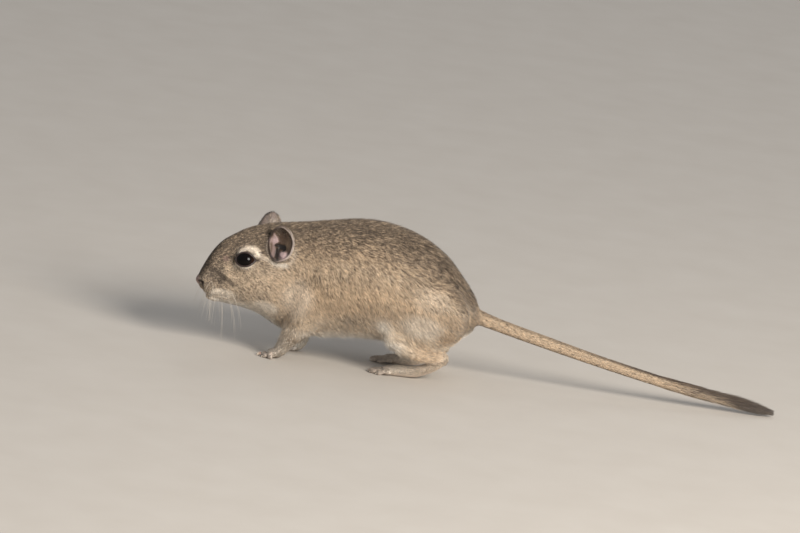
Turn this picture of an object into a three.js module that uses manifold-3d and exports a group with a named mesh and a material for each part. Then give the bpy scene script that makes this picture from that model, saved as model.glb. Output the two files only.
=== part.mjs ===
// A life-size gerbil standing on all four feet, head low and long tail laid out behind.
// Millimetres, +Z up. The nose points along -Y and the animal's left side is +X.
import * as THREE from "three";
import { mergeVertices } from "three/addons/utils/BufferGeometryUtils.js";
import Module from "manifold-3d";

const wasm = await Module();
wasm.setup();
const { Manifold, Mesh } = wasm;

// Driving dimensions
const BODY_LENGTH = 118.5; // nose tip to tail root
const BODY_HALF_WIDTH = 22.8; // at the loin
const BACK_HEIGHT = 61.5; // top of the back above the floor
const TAIL_LENGTH = 132; // from its root inside the rump to the tip of the brush
const TAIL_ROOT = { behind: 113.5, up: 27.8 };
const TAIL_RADIUS = 2.8; // over its hair
const TAIL_SWING = 9; // the tip lies this far to the animal's right
const HEAD_TURN = THREE.MathUtils.degToRad(10.5); // towards the animal's left
const EYE_RADIUS = 4.3;
const EAR = { halfWidth: 5.7, halfHeight: 7.5, depth: 4.6, wall: 0.9 };
const HIND_TOE_LENGTH = 6.6;
const FINGER_LENGTH = 4.8;
const GAP = 0.3; // between pieces that touch

const SIDES = { left: 1, right: -1 };

// Helpers for solids
function solid(geometry) {
  const bare = geometry.clone();
  bare.deleteAttribute("normal");
  bare.deleteAttribute("uv");
  const merged = mergeVertices(bare, 1e-4);
  const vertProperties = new Float32Array(merged.attributes.position.array);
  const triVerts = new Uint32Array(merged.index.array);
  const made = new Manifold(new Mesh({ numProp: 3, vertProperties, triVerts }));
  if (made.volume() > 0) return made;
  for (let i = 0; i < triVerts.length; i += 3) {
    [triVerts[i + 1], triVerts[i + 2]] = [triVerts[i + 2], triVerts[i + 1]];
  }
  return new Manifold(new Mesh({ numProp: 3, vertProperties, triVerts }));
}

function geometryOf(shape) {
  const mesh = shape.getMesh();
  const geometry = new THREE.BufferGeometry();
  geometry.setAttribute("position", new THREE.BufferAttribute(mesh.vertProperties, 3));
  geometry.setIndex(new THREE.BufferAttribute(mesh.triVerts, 1));
  return geometry;
}

function largest(shape) {
  return shape.decompose().reduce((best, piece) => (piece.volume() > best.volume() ? piece : best));
}

const joined = (shapes) => shapes.reduce((sum, shape) => sum.add(shape));
const without = (shape, cutters) => cutters.reduce((rest, cutter) => rest.subtract(cutter), shape);

// A skin over rings of equal count, closed by a point at each end.
function loft(rings, firstPole, lastPole) {
  const sides = rings[0].length;
  const points = [...rings.flat(), firstPole, lastPole];
  const first = points.length - 2;
  const last = points.length - 1;
  const faces = [];
  for (let side = 0; side < sides; side += 1) {
    const next = (side + 1) % sides;
    faces.push(first, side, next);
    for (let ring = 0; ring + 1 < rings.length; ring += 1) {
      const here = ring * sides;
      const there = here + sides;
      faces.push(here + side, there + side, here + next);
      faces.push(here + next, there + side, there + next);
    }
    const end = (rings.length - 1) * sides;
    faces.push(last, end + next, end + side);
  }
  const geometry = new THREE.BufferGeometry().setFromPoints(points);
  geometry.setIndex(faces);
  return geometry;
}

// A value read off evenly numbered stations, smoothly.
function eased(values, place) {
  const at = Math.min(Math.max(place, 0), values.length - 1);
  const i = Math.min(Math.floor(at), values.length - 2);
  const part = at - i;
  const before = values[Math.max(i - 1, 0)];
  const from = values[i];
  const to = values[i + 1];
  const after = values[Math.min(i + 2, values.length - 1)];
  const slopeFrom = (to - before) / 2;
  const slopeTo = (after - from) / 2;
  const p2 = part * part;
  const p3 = p2 * part;
  return (
    (2 * p3 - 3 * p2 + 1) * from +
    (p3 - 2 * p2 + part) * slopeFrom +
    (3 * p2 - 2 * p3) * to +
    (p3 - p2) * slopeTo
  );
}

// A round-ended limb through stations of [x, behind, up, half width, half depth].
function limb(stations, { sides = 10, steps = 2, grow = 0, domes = [60, 30] } = {}) {
  const centres = stations.map(([x, y, z]) => new THREE.Vector3(x, y, z));
  const path = new THREE.CatmullRomCurve3(centres);
  const wides = stations.map((station) => station[3] + grow);
  const deeps = stations.map((station) => station[4] + grow);
  const spans = stations.length - 1;
  const ringAt = (t, slide, scale) => {
    const along = path.getTangent(t);
    const across = new THREE.Vector3(1, 0, 0).addScaledVector(along, -along.x).normalize();
    const up = new THREE.Vector3().crossVectors(along, across);
    const centre = path.getPoint(t).addScaledVector(along, slide);
    const wide = eased(wides, t * spans) * scale;
    const deep = eased(deeps, t * spans) * scale;
    return Array.from({ length: sides }, (_, side) => {
      const turn = (side / sides) * 2 * Math.PI;
      return centre
        .clone()
        .addScaledVector(across, wide * Math.cos(turn))
        .addScaledVector(up, deep * Math.sin(turn));
    });
  };
  const startReach = Math.min(wides[0], deeps[0]);
  const endReach = Math.min(wides[spans], deeps[spans]);
  const dome = (t, reach) =>
    domes.map((degrees) => {
      const lift = THREE.MathUtils.degToRad(degrees);
      return ringAt(t, reach * Math.sin(lift), Math.cos(lift));
    });
  const body = Array.from({ length: spans * steps + 1 }, (_, k) => ringAt(k / (spans * steps), 0, 1));
  const rings = [...dome(0, -startReach), ...body, ...dome(1, endReach).reverse()];
  const firstPole = path.getPoint(0).addScaledVector(path.getTangent(0), -startReach);
  const lastPole = path.getPoint(1).addScaledVector(path.getTangent(1), endReach);
  return solid(loft(rings, firstPole, lastPole));
}

function ellipsoid(centre, radii, { around = 10, down = 7, grow = 0, bend = (point) => point } = {}) {
  const geometry = new THREE.SphereGeometry(1, around, down);
  geometry.scale(radii[0] + grow, radii[1] + grow, radii[2] + grow);
  geometry.translate(...centre);
  return solid(bent(geometry, bend));
}

function bent(geometry, bend) {
  const places = geometry.attributes.position;
  const point = new THREE.Vector3();
  for (let i = 0; i < places.count; i += 1) {
    bend(point.fromBufferAttribute(places, i));
    places.setXYZ(i, point.x, point.y, point.z);
  }
  return geometry;
}

// All the space on the far side of a plane, for parting a form with a thin cut.
function beyond(point, normal, gap = GAP) {
  const reach = 3 * (BODY_LENGTH + TAIL_LENGTH);
  const block = new THREE.BoxGeometry(reach, reach, reach);
  block.translate(0, 0, reach / 2);
  const facing = normal.clone().normalize();
  block.applyQuaternion(new THREE.Quaternion().setFromUnitVectors(new THREE.Vector3(0, 0, 1), facing));
  block.translate(...point.clone().addScaledVector(facing, -gap / 2).toArray());
  return solid(block);
}

const BELOW_FLOOR = beyond(new THREE.Vector3(0, 0, 0), new THREE.Vector3(0, 0, -1), 0);

// The head is turned on the neck, and the neck takes up the turn.
const NECK_PIVOT = 42;
const NECK_TURNS = { from: 34, to: 54 };
function turnHead(point) {
  const share = 1 - THREE.MathUtils.smoothstep(point.y, NECK_TURNS.from, NECK_TURNS.to);
  const angle = HEAD_TURN * share;
  const x = point.x;
  const y = point.y - NECK_PIVOT;
  point.x = x * Math.cos(angle) - y * Math.sin(angle);
  point.y = NECK_PIVOT + x * Math.sin(angle) + y * Math.cos(angle);
  return point;
}
const turned = (x, y, z) => turnHead(new THREE.Vector3(x, y, z));

// Head, neck and trunk as one form. Each station is a place behind the nose, the height of the
// back and of the belly, and the half width, as hundredths of the driving sizes.
const STATIONS = [
  [0.3, 48.2, 42.9, 6], // nose
  [1.7, 54.2, 39.6, 17],
  [4.2, 64.5, 35.6, 27], // muzzle
  [7.6, 73.6, 32.4, 35],
  [11.8, 79.2, 30.8, 43], // brow
  [16.0, 84.0, 30.0, 50], // eyes
  [22.8, 88.6, 26.6, 59], // crown
  [30.4, 90.9, 19.0, 62], // nape
  [37.1, 92.8, 16.0, 66],
  [45.6, 96.3, 16.0, 79], // shoulders
  [56.5, 99.6, 19.0, 93],
  [66.7, 98.4, 20.2, 100], // loin
  [76.8, 92.8, 20.4, 94],
  [86.1, 82.4, 20.6, 76], // rump
  [93.7, 67.5, 25.6, 52],
  [98.6, 55.5, 33.0, 29], // tail root
];
const WIDEST_AT = 0.43; // of the height from belly to back
const FLANK_FULLNESS = 0.92; // 1 is an ellipse, less is squarer
const HEAD_RINGS = 3; // from one station to the next
const BODY_RINGS = 2;
const HEAD_STATIONS = 7;
const TRUNK_SIDES = 28;

function trunkRing(place) {
  const read = (column) => eased(STATIONS.map((station) => station[column] / 100), place);
  const behind = read(0) * BODY_LENGTH;
  const top = read(1) * BACK_HEIGHT;
  const bottom = read(2) * BACK_HEIGHT;
  const half = read(3) * BODY_HALF_WIDTH;
  const middle = THREE.MathUtils.lerp(bottom, top, WIDEST_AT);
  return Array.from({ length: TRUNK_SIDES }, (_, side) => {
    const turn = (side / TRUNK_SIDES) * 2 * Math.PI;
    const out = Math.cos(turn);
    const up = Math.sin(turn);
    const rise = up > 0 ? top - middle : middle - bottom;
    return turned(
      half * Math.sign(out) * Math.abs(out) ** FLANK_FULLNESS,
      behind,
      middle + rise * Math.sign(up) * Math.abs(up) ** FLANK_FULLNESS,
    );
  });
}

function makeTrunk() {
  const places = [0];
  for (let station = 1; station < STATIONS.length; station += 1) {
    const count = station <= HEAD_STATIONS ? HEAD_RINGS : BODY_RINGS;
    for (let k = 1; k <= count; k += 1) places.push(station - 1 + k / count);
  }
  const rings = places.map(trunkRing);
  const nose = turned(0, 0, 0.457 * BACK_HEIGHT);
  const seat = turned(0, BODY_LENGTH, 0.443 * BACK_HEIGHT);
  return solid(loft(rings, nose, seat));
}

// Face
const EYE = { out: 8.2, behind: 18.2, up: 39.6 };
const LID_THICKNESS = 2.1;
const EYE_LOOKS = { out: 0.9, behind: -0.38, up: 0.28 };

function eyeCentre(side) {
  return turned(side * EYE.out, EYE.behind, EYE.up);
}

function eyeDirection(side) {
  const towards = new THREE.Vector3(side * EYE_LOOKS.out, EYE_LOOKS.behind, EYE_LOOKS.up);
  return towards.normalize().applyAxisAngle(new THREE.Vector3(0, 0, 1), HEAD_TURN);
}

function eyeball(side, grow = 0) {
  const geometry = new THREE.SphereGeometry(EYE_RADIUS + grow, 14, 9);
  geometry.translate(...eyeCentre(side).toArray());
  return solid(geometry);
}

// A soft ring of lid round each eye, longer than it is tall.
function lids(side) {
  const ring = new THREE.TorusGeometry(EYE_RADIUS * 0.88, LID_THICKNESS / 2, 6, 14);
  ring.scale(1.02, 0.9, 1);
  const facing = eyeDirection(side);
  ring.applyQuaternion(new THREE.Quaternion().setFromUnitVectors(new THREE.Vector3(0, 0, 1), facing));
  const centre = eyeCentre(side).addScaledVector(facing, EYE_RADIUS * 0.5);
  ring.translate(...centre.toArray());
  return solid(ring);
}

function muzzleParts() {
  const bend = turnHead;
  const parts = [
    ellipsoid([0, 1.7, 28], [2.5, 1.8, 2.1], { bend }), // nose pad
    ellipsoid([0, 9.4, 21.2], [4.2, 4.6, 1.7], { bend }), // lower lip and chin
  ];
  for (const side of Object.values(SIDES)) {
    parts.push(ellipsoid([side * 4, 8.2, 26.2], [3.5, 5.8, 3.6], { bend })); // whisker pad
  }
  return parts;
}

function groove(points, radius) {
  const stations = points.map(([x, y, z]) => [...turned(x, y, z).toArray(), radius, radius]);
  return limb(stations, { sides: 5, steps: 1, domes: [] });
}

function faceCuts() {
  const cuts = [groove([[0, 0, 26.6], [0, 1.1, 25.2], [0, 2.8, 23.8]], 0.4)]; // cleft lip
  for (const side of Object.values(SIDES)) {
    cuts.push(ellipsoid([side * 2.1, 1.5, 27.7], [0.8, 1.1, 0.6], { around: 8, down: 5, bend: turnHead }));
    const lipLine = [[0, 2.6, 24], [side * 3, 4.6, 23.2], [side * 5.4, 8.4, 22.7], [side * 6.6, 11.4, 22.9]];
    cuts.push(groove(lipLine, 0.5));
    cuts.push(eyeball(side, GAP));
  }
  return cuts;
}

// Ears: thin upright cups, open outwards and forwards. The left one leans forward, and the right
// one, held further forward and higher, leans back.
const EARS = {
  [SIDES.left]: { out: 12.2, behind: 30.9, up: 48.6, opens: [0.84, -0.5, 0.2], lean: -6 },
  [SIDES.right]: { out: 12.2, behind: 28.8, up: 49.5, opens: [0.9, -0.35, 0.2], lean: 6 },
};
const EAR_TIP_TAPER = 0.04;
const EAR_RIM_CURL = 0.16; // the sides of the rim fold in, its tip and foot stand out

function earForm(side, { filled = false, grow = 0 } = {}) {
  const steps = 4;
  const bowl = (k, radius, depth) => {
    const turn = (k / steps) * (Math.PI / 2);
    return new THREE.Vector2(radius * Math.sin(turn), -depth * Math.cos(turn));
  };
  const outer = Array.from({ length: steps + 1 }, (_, k) => bowl(k, 1 + grow, 1 + grow));
  const inner = Array.from({ length: steps + 1 }, (_, k) => bowl(steps - k, 1 - EAR.wall / 4.4, 1 - EAR.wall / 4));
  const lid = [new THREE.Vector2(1 + grow, 0.12), new THREE.Vector2(0, 0.12)];
  const profile = [...outer, ...(filled ? lid : inner)];
  profile[0].x = 0;
  profile[profile.length - 1].x = 0;
  const cup = new THREE.LatheGeometry(profile, 16);
  bent(cup, (point) => {
    const tip = Math.max(0, point.z);
    const rimCurl = EAR_RIM_CURL * (point.x * point.x - point.z * point.z);
    point.set(
      point.x * EAR.halfWidth * (1 - EAR_TIP_TAPER * tip * tip),
      point.y * EAR.depth - rimCurl * EAR.depth,
      point.z * EAR.halfHeight,
    );
    return point;
  });
  const ear = EARS[side];
  const lean = THREE.MathUtils.degToRad(ear.lean);
  const opens = new THREE.Vector3(...ear.opens).normalize();
  opens.x *= side;
  const up = new THREE.Vector3(0, Math.sin(lean), Math.cos(lean));
  up.addScaledVector(opens, -up.dot(opens)).normalize();
  const across = new THREE.Vector3().crossVectors(opens, up);
  cup.applyMatrix4(new THREE.Matrix4().makeBasis(across, opens, up));
  cup.translate(side * ear.out, ear.behind, ear.up);
  return solid(bent(cup, turnHead));
}

// Legs, each as stations of [outwards, behind, up, half width, half depth]
const FORELEG = [
  [11.5, 50.5, 27, 6, 9],
  [12.4, 47.2, 18.5, 5.6, 8.2],
  [11.5, 43.6, 12.4, 4.2, 5.2],
  [10.2, 41.1, 8, 3, 3.4],
  [9.6, 39.6, 4.6, 2.6, 2.9],
];
const FOREPAW = [
  [9.6, 40.2, 3.5, 2.4, 2.3],
  [9.3, 37.6, 2.5, 3, 2.3],
  [9, 35, 2, 3.2, 2],
];
const SHANK = [
  [15, 86, 16.5, 6, 6],
  [14.4, 93, 13.6, 5.6, 5.4],
  [13.2, 100, 11.4, 4.2, 4.2],
  [12.2, 106, 10.2, 2.8, 2.8],
];
const HINDFOOT = [
  [12, 106.4, 9.2, 2.1, 2.2],
  [11.8, 101.8, 5.7, 2.4, 2.3],
  [11.4, 95.6, 2.9, 2.7, 2.3],
  [11.1, 88.5, 2.3, 2.9, 2.4],
  [11, 83, 2.05, 3.3, 2.05],
];
const THIGH = { centre: [13.6, 98, 27.5], radii: [9.6, 17, 15.5] };

const onSide = (stations, side) => stations.map(([x, ...rest]) => [side * x, ...rest]);

// The right forepaw stands back of the left one, and its leg slants to reach it.
const STEP_BACK = 8.5;
const SHOULDER_UP = 27;
function stepped(stations, side) {
  return onSide(stations, side).map(([x, behind, up, ...rest]) => {
    const slant = side < 0 ? STEP_BACK * (1 - up / SHOULDER_UP) : 0;
    return [x, behind + slant, up, ...rest];
  });
}

// Toes fan out from the front of the foot, each with a claw.
function toes(side, root, { count, spread, fan, length, radius, shorten, claw }) {
  return Array.from({ length: count }, (_, k) => {
    const share = count === 1 ? 0 : (2 * k) / (count - 1) - 1; // -1 inner to 1 outer
    const out = root.out + share * spread;
    const reach = length * (1 - shorten * share * share);
    const behind = root.behind + 1.4 * share * share;
    const lean = share * fan;
    const at = (part, up) => [
      side * (out + lean * reach * part),
      behind - reach * part,
      up,
    ];
    const toe = limb(
      [
        [...at(0, radius + 0.5), radius, radius],
        [...at(0.45, radius + 0.5), radius * 0.9, radius * 0.95],
        [...at(0.9, radius * 0.8), radius, radius * 0.85],
      ],
      { sides: 5, steps: 1, domes: [45] },
    );
    const nail = limb(
      [
        [...at(0.85, radius * 0.9), 0.5, 0.55],
        [...at(0.85 + (0.6 * claw) / reach, radius * 0.95), 0.42, 0.5],
        [...at(0.85 + claw / reach, 0.42), 0.16, 0.2],
      ],
      { sides: 4, steps: 1, domes: [] },
    );
    return toe.add(nail);
  });
}

function forepaw(side) {
  const fingers = toes(side, { out: 9, behind: 35.2 + (side < 0 ? STEP_BACK * 0.94 : 0) }, {
    count: 4,
    spread: 2.3,
    fan: 0.16,
    length: FINGER_LENGTH,
    radius: 1,
    shorten: 0.22,
    claw: 1.9,
  });
  return joined([limb(stepped(FOREPAW, side), { sides: 8 }), ...fingers]);
}

function hindfoot(side) {
  const digits = toes(side, { out: 11, behind: 83.4 }, {
    count: 5,
    spread: 2.8,
    fan: 0.1,
    length: HIND_TOE_LENGTH,
    radius: 1.08,
    shorten: 0.34,
    claw: 2.1,
  });
  return joined([limb(onSide(HINDFOOT, side), { sides: 8 }), ...digits]);
}

// Tail: down from the rump and along the floor, the last part a brush of longer hair.
const TAIL_TOUCHES = 0.99; // share of its length where its underside meets the floor
const TAIL_THICKNESS = [1.25, 1.08, 1.04, 1.02, 0.97, 0.94, 0.93, 0.92, 0.96, 1.04, 1.08, 0.76];
const TAIL_DROP = 1.19; // 1 is a straight slope, more comes down sooner
const TAIL_ASPECT = 0.94; // a little wider than tall

function tailRadius(t) {
  return TAIL_RADIUS * eased(TAIL_THICKNESS, t * (TAIL_THICKNESS.length - 1));
}

function tailPoint(t) {
  const under = (TAIL_ROOT.up - TAIL_RADIUS) * Math.max(0, 1 - t / TAIL_TOUCHES) ** TAIL_DROP;
  return new THREE.Vector3(
    -TAIL_SWING * t * t,
    TAIL_ROOT.behind + TAIL_LENGTH * t,
    under + tailRadius(t) * TAIL_ASPECT * 0.93,
  );
}

function tailTube(from, to, radiusAt, { count, grow = 0 }) {
  const stations = Array.from({ length: count + 1 }, (_, k) => {
    const t = THREE.MathUtils.lerp(from, to, k / count);
    const radius = radiusAt(t) + grow;
    return [...tailPoint(t).toArray(), radius, radius * TAIL_ASPECT];
  });
  return limb(stations, { sides: 10, steps: 1 });
}

// The brush: rows of flat tapered locks on a thin core, longest along the top.
const BRUSH = {
  from: 0.685,
  coreEnd: 0.94,
  rows: 6,
  around: 6,
  length: 0.12, // of the tail
  width: 1.3,
  thickness: 0.42,
  crest: 0.18, // how much further the top locks stand out
};

function coreRadius(t) {
  return tailRadius(t) * (1 - 0.5 * THREE.MathUtils.smoothstep(t, 0.7, 0.77));
}

function seeded(seed) {
  let state = seed;
  return () => {
    state = (state * 1664525 + 1013904223) % 4294967296;
    return state / 4294967296;
  };
}

// One lock: roots in the core at t, then lies back along the tail to its tip.
function lock(t, turn, length, reach) {
  const spot = (share, out) => {
    const at = t + share * length;
    const along = tailPoint(at + 0.005).sub(tailPoint(at - 0.005)).normalize();
    const across = new THREE.Vector3(1, 0, 0).addScaledVector(along, -along.x).normalize();
    const up = new THREE.Vector3().crossVectors(along, across);
    const radial = across.clone().multiplyScalar(Math.cos(turn)).addScaledVector(up, Math.sin(turn));
    const aside = new THREE.Vector3().crossVectors(along, radial);
    return { radial, aside, centre: tailPoint(at).addScaledVector(radial, out) };
  };
  const core = coreRadius(t);
  const root = spot(0, core * 0.35);
  const tip = spot(1, reach * 0.86);
  const rings = [
    [0.12, core * 0.8, 0.8, 1],
    [0.5, reach * 0.84, 1, 1],
    [0.82, reach * 0.93, 0.6, 0.75],
  ].map(([share, out, wide, thick]) => {
    const { radial, aside, centre } = spot(share, out);
    const w = BRUSH.width * wide;
    const h = BRUSH.thickness * thick;
    return [
      centre.clone().addScaledVector(aside, w),
      centre.clone().addScaledVector(radial, h),
      centre.clone().addScaledVector(aside, -w),
      centre.clone().addScaledVector(radial, -h),
    ];
  });
  return solid(loft(rings, root.centre, tip.centre));
}

function brush() {
  const random = seeded(7);
  const pieces = [tailTube(0.62, BRUSH.coreEnd, coreRadius, { count: 8 })];
  for (let row = 0; row < BRUSH.rows; row += 1) {
    const start = THREE.MathUtils.lerp(BRUSH.from + 0.012, BRUSH.coreEnd - 0.025, row / (BRUSH.rows - 1));
    for (let k = 0; k < BRUSH.around; k += 1) {
      const turn = ((k + 0.5 * (row % 2) + 0.25 * (random() - 0.5)) / BRUSH.around) * 2 * Math.PI;
      const t = start + 0.012 * random();
      const end = Math.min(t + BRUSH.length * (0.85 + 0.3 * random()), 0.97 + 0.03 * random());
      const crest = 1 + BRUSH.crest * Math.max(0, Math.sin(turn));
      pieces.push(lock(t, turn, end - t, tailRadius(end) * crest * (0.95 + 0.1 * random())));
    }
  }
  return joined(pieces);
}

// Bodies, each cut clear of its neighbours
const model = new THREE.Group();
model.name = "gerbil";

const FINISHES = {
  coat: { color: 0xa88c66, roughness: 0.9 },
  ear: { color: 0x8d7468, roughness: 0.7 },
  eye: { color: 0x0b0908, roughness: 0.08 },
  foot: { color: 0xd9c7b6, roughness: 0.75 },
  brush: { color: 0x4a3a2c, roughness: 0.9 },
};

function show(name, shape, finish) {
  const material = new THREE.MeshStandardMaterial({ metalness: 0, ...FINISHES[finish] });
  const mesh = new THREE.Mesh(geometryOf(largest(shape.subtract(BELOW_FLOOR))), material);
  mesh.name = name;
  model.add(mesh);
}

const sockets = [tailTube(0, 0.3, tailRadius, { count: 5, grow: GAP })];
for (const [name, side] of Object.entries(SIDES)) {
  const paw = forepaw(side);
  const foot = hindfoot(side);
  const thighRadii = THIGH.radii;
  const thighCentre = [side * THIGH.centre[0], ...THIGH.centre.slice(1)];
  const thigh = ellipsoid(thighCentre, thighRadii, { around: 18, down: 10 });
  const thighSocket = ellipsoid(thighCentre, thighRadii, { around: 18, down: 10, grow: GAP });
  const foreleg = limb(stepped(FORELEG, side), { sides: 12 });
  const shank = limb(onSide(SHANK, side), { sides: 12 });
  sockets.push(thighSocket, limb(stepped(FORELEG, side), { sides: 12, grow: GAP }));
  sockets.push(limb(onSide(SHANK, side), { sides: 12, grow: GAP }));

  show(`forepaw_${name}`, paw, "foot");
  show(`foreleg_${name}`, foreleg.subtract(limb(stepped(FOREPAW, side), { grow: GAP })), "coat");
  show(`hindfoot_${name}`, foot, "foot");
  show(`shank_${name}`, without(shank, [thighSocket, limb(onSide(HINDFOOT, side), { grow: GAP })]), "coat");
  show(`thigh_${name}`, thigh, "coat");
  show(`ear_${name}`, earForm(side), "ear");
  show(`eye_${name}`, eyeball(side), "eye");
}

// Head, neck, torso and rump, parted across the trunk
const PARTINGS = [
  { at: [0, 37, 36], tilt: -16 }, // behind the ears
  { at: [0, 46, 36], tilt: -16 }, // before the shoulders
  { at: [0, 80, 36], tilt: 0 }, // before the thighs
].map(({ at, tilt }) => {
  const lean = THREE.MathUtils.degToRad(tilt);
  return { point: new THREE.Vector3(...at), normal: new THREE.Vector3(0, Math.cos(lean), Math.sin(lean)) };
});

const trunk = without(joined([makeTrunk(), ...muzzleParts(), lids(1), lids(-1)]), [
  ...sockets,
  ...faceCuts(),
  ...Object.values(SIDES).map((side) => earForm(side, { filled: true, grow: GAP / EAR.depth })),
]);

["head", "neck", "torso", "rump"].forEach((name, k) => {
  const cutters = [];
  if (k > 0) cutters.push(beyond(PARTINGS[k - 1].point, PARTINGS[k - 1].normal.clone().negate()));
  if (k < PARTINGS.length) cutters.push(beyond(PARTINGS[k].point, PARTINGS[k].normal));
  show(name, without(trunk, cutters), "coat");
});

// Tail, parted in three lengths
const tail = tailTube(0, 1, tailRadius, { count: 18 });
const brushed = brush();
const TAIL_PARTINGS = [0.36, BRUSH.from].map((t) => {
  const ahead = tailPoint(t + 0.01).sub(tailPoint(t - 0.01));
  return { point: tailPoint(t), normal: ahead };
});
["tail_base", "tail_middle", "tail_end"].forEach((name, k) => {
  const cutters = [];
  if (k > 0) cutters.push(beyond(TAIL_PARTINGS[k - 1].point, TAIL_PARTINGS[k - 1].normal.clone().negate()));
  if (k < TAIL_PARTINGS.length) cutters.push(beyond(TAIL_PARTINGS[k].point, TAIL_PARTINGS[k].normal));
  show(name, without(k < 2 ? tail : brushed, cutters), k < 2 ? "coat" : "brush");
});

// The model stands over the middle of its own box, feet on the floor.
const box = new THREE.Box3().setFromObject(model);
const middle = box.getCenter(new THREE.Vector3());
model.position.set(-middle.x, -middle.y, -box.min.z);
model.updateMatrixWorld(true);

export default model;
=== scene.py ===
import math

import bmesh
import bpy
import numpy as np
from mathutils import Matrix, Vector
from mathutils.bvhtree import BVHTree
from mathutils.kdtree import KDTree


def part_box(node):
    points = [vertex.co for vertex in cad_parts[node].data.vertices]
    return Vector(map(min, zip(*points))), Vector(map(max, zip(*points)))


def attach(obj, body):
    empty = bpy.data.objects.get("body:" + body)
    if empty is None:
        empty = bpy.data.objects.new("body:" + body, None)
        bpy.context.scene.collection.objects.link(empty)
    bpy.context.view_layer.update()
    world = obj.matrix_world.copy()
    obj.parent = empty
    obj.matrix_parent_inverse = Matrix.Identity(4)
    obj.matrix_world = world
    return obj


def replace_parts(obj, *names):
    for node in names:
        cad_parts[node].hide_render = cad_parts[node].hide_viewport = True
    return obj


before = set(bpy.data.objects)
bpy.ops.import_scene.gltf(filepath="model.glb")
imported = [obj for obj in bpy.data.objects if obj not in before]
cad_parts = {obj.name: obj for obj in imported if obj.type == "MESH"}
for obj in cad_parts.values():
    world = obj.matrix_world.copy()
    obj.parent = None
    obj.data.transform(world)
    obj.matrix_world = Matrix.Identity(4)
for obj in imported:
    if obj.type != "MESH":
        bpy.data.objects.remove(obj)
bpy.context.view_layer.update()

# A life-size gerbil, worked in millimetres: x to the animal's left, then the way behind the nose,
# then the height. The head is shaped facing straight ahead and turned at the end.
MM = 0.001
BODY_LENGTH = 118.5
BODY_HALF_WIDTH = 22.8
BACK_HEIGHT = 61.5
TAIL_LENGTH = 132
TAIL_ROOT_BEHIND = 113.5
TAIL_ROOT_UP = 27.8
TAIL_RADIUS = 2.8
TAIL_SWING = 9
HEAD_TURN = math.radians(10.5)
NECK_PIVOT = 42
NECK_TURNS = (34, 54)
CHEST_TURNS = (12, 24)  # heights between which the legs stop following the head's turn
EYE_RADIUS = 4.3
EYE = (8.2, 18.2, 39.6)
EYE_LOOKS = (0.9, -0.38, 0.28)
SIDES = {"left": 1, "right": -1}

# Stations of head, neck and trunk: place behind the nose, height of the back and of the belly, and
# half width, in hundredths of the body's length, height and half width.
STATIONS = [
    (0.3, 48.2, 42.9, 6),
    (1.7, 54.2, 39.6, 17),
    (4.2, 64.5, 35.6, 27),
    (7.6, 73.6, 32.4, 35),
    (11.8, 79.2, 30.8, 43),
    (16.0, 84.0, 30.0, 50),
    (22.8, 88.6, 26.6, 59),
    (30.4, 90.9, 19.0, 62),
    (37.1, 92.8, 16.0, 66),
    (45.6, 96.3, 16.0, 79),
    (56.5, 99.6, 19.0, 93),
    (66.7, 98.4, 20.2, 100),
    (76.8, 92.8, 20.4, 94),
    (86.1, 82.4, 20.6, 76),
    (93.7, 67.5, 25.6, 52),
    (98.6, 55.5, 33.0, 29),
]
WIDEST_AT = 0.43
FLANK_FULLNESS = 0.92

# Legs: stations of outwards, behind, up, half width, half depth
FORELEG = [
    (11.5, 50.5, 27, 6, 9),
    (12.4, 47.2, 18.5, 5.6, 8.2),
    (11.5, 43.6, 12.4, 4.2, 5.2),
    (10.2, 41.1, 8, 3, 3.4),
    (9.6, 39.6, 4.6, 2.6, 2.9),
    (9.35, 37.6, 2.4, 2.9, 2.1),
    (9, 35, 1.7, 3.1, 1.65),
]
STEP_BACK = 8.5
SHOULDER_UP = 27
SHANK = [
    (15, 86, 16.5, 6, 6),
    (14.4, 93, 13.6, 5.6, 5.4),
    (13.2, 100, 11.4, 4.2, 4.2),
    (12.2, 106, 10.2, 2.8, 2.8),
]
HINDFOOT = [
    (12, 106.4, 9.2, 2.1, 2.2),
    (11.8, 101.8, 5.7, 2.4, 2.3),
    (11.4, 95.6, 2.9, 2.7, 2.3),
    (11.1, 88.5, 2.2, 2.9, 2.25),
    (11, 83, 1.7, 3.2, 1.65),
]
THIGH_CENTRE = (13.6, 98, 27.5)
THIGH_RADII = (9.6, 17, 15.5)
TAIL_THICKNESS = [1.25, 1.08, 1.04, 1.02, 0.97, 0.94, 0.93, 0.92, 0.96, 1.04, 1.08, 0.76]
TAIL_TOUCHES = 0.99
TAIL_DROP = 1.19
TAIL_ASPECT = 0.94
TAIL_SETTLES = 0.93  # height of its middle over the floor, in its half heights

rng = np.random.default_rng(11)


# Working with many points at once
def unit(vectors):
    return vectors / np.maximum(np.linalg.norm(vectors, axis=-1, keepdims=True), 1e-9)


def dot(a, b):
    return (a * b).sum(-1)


def ramp(value, start, end):
    """Eases from 0 at the start to 1 at the end."""
    share = np.clip((np.asarray(value, float) - start) / (end - start), 0, 1)
    return share * share * (3 - 2 * share)


def mix(a, b, share):
    """From a to b by a share for each point."""
    share = np.asarray(share)
    if np.ndim(a) > np.ndim(share) or np.ndim(b) > np.ndim(share):
        share = share[..., None]
    return a + (b - a) * share


def eased(table, places):
    """A smooth curve through a table's rows, read at the given places."""
    table = np.asarray(table, float)
    at = np.clip(np.asarray(places, float), 0, len(table) - 1)
    i = np.minimum(at.astype(int), len(table) - 2)
    part = (at - i).reshape(at.shape + (1,) * (table.ndim - 1))
    before, start = table[np.maximum(i - 1, 0)], table[i]
    end, after = table[i + 1], table[np.minimum(i + 2, len(table) - 1)]
    p2, p3 = part**2, part**3
    return (
        (2 * p3 - 3 * p2 + 1) * start
        + (p3 - 2 * p2 + part) * (end - before) / 2
        + (3 * p2 - 2 * p3) * end
        + (p3 - p2) * (after - start) / 2
    )


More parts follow.
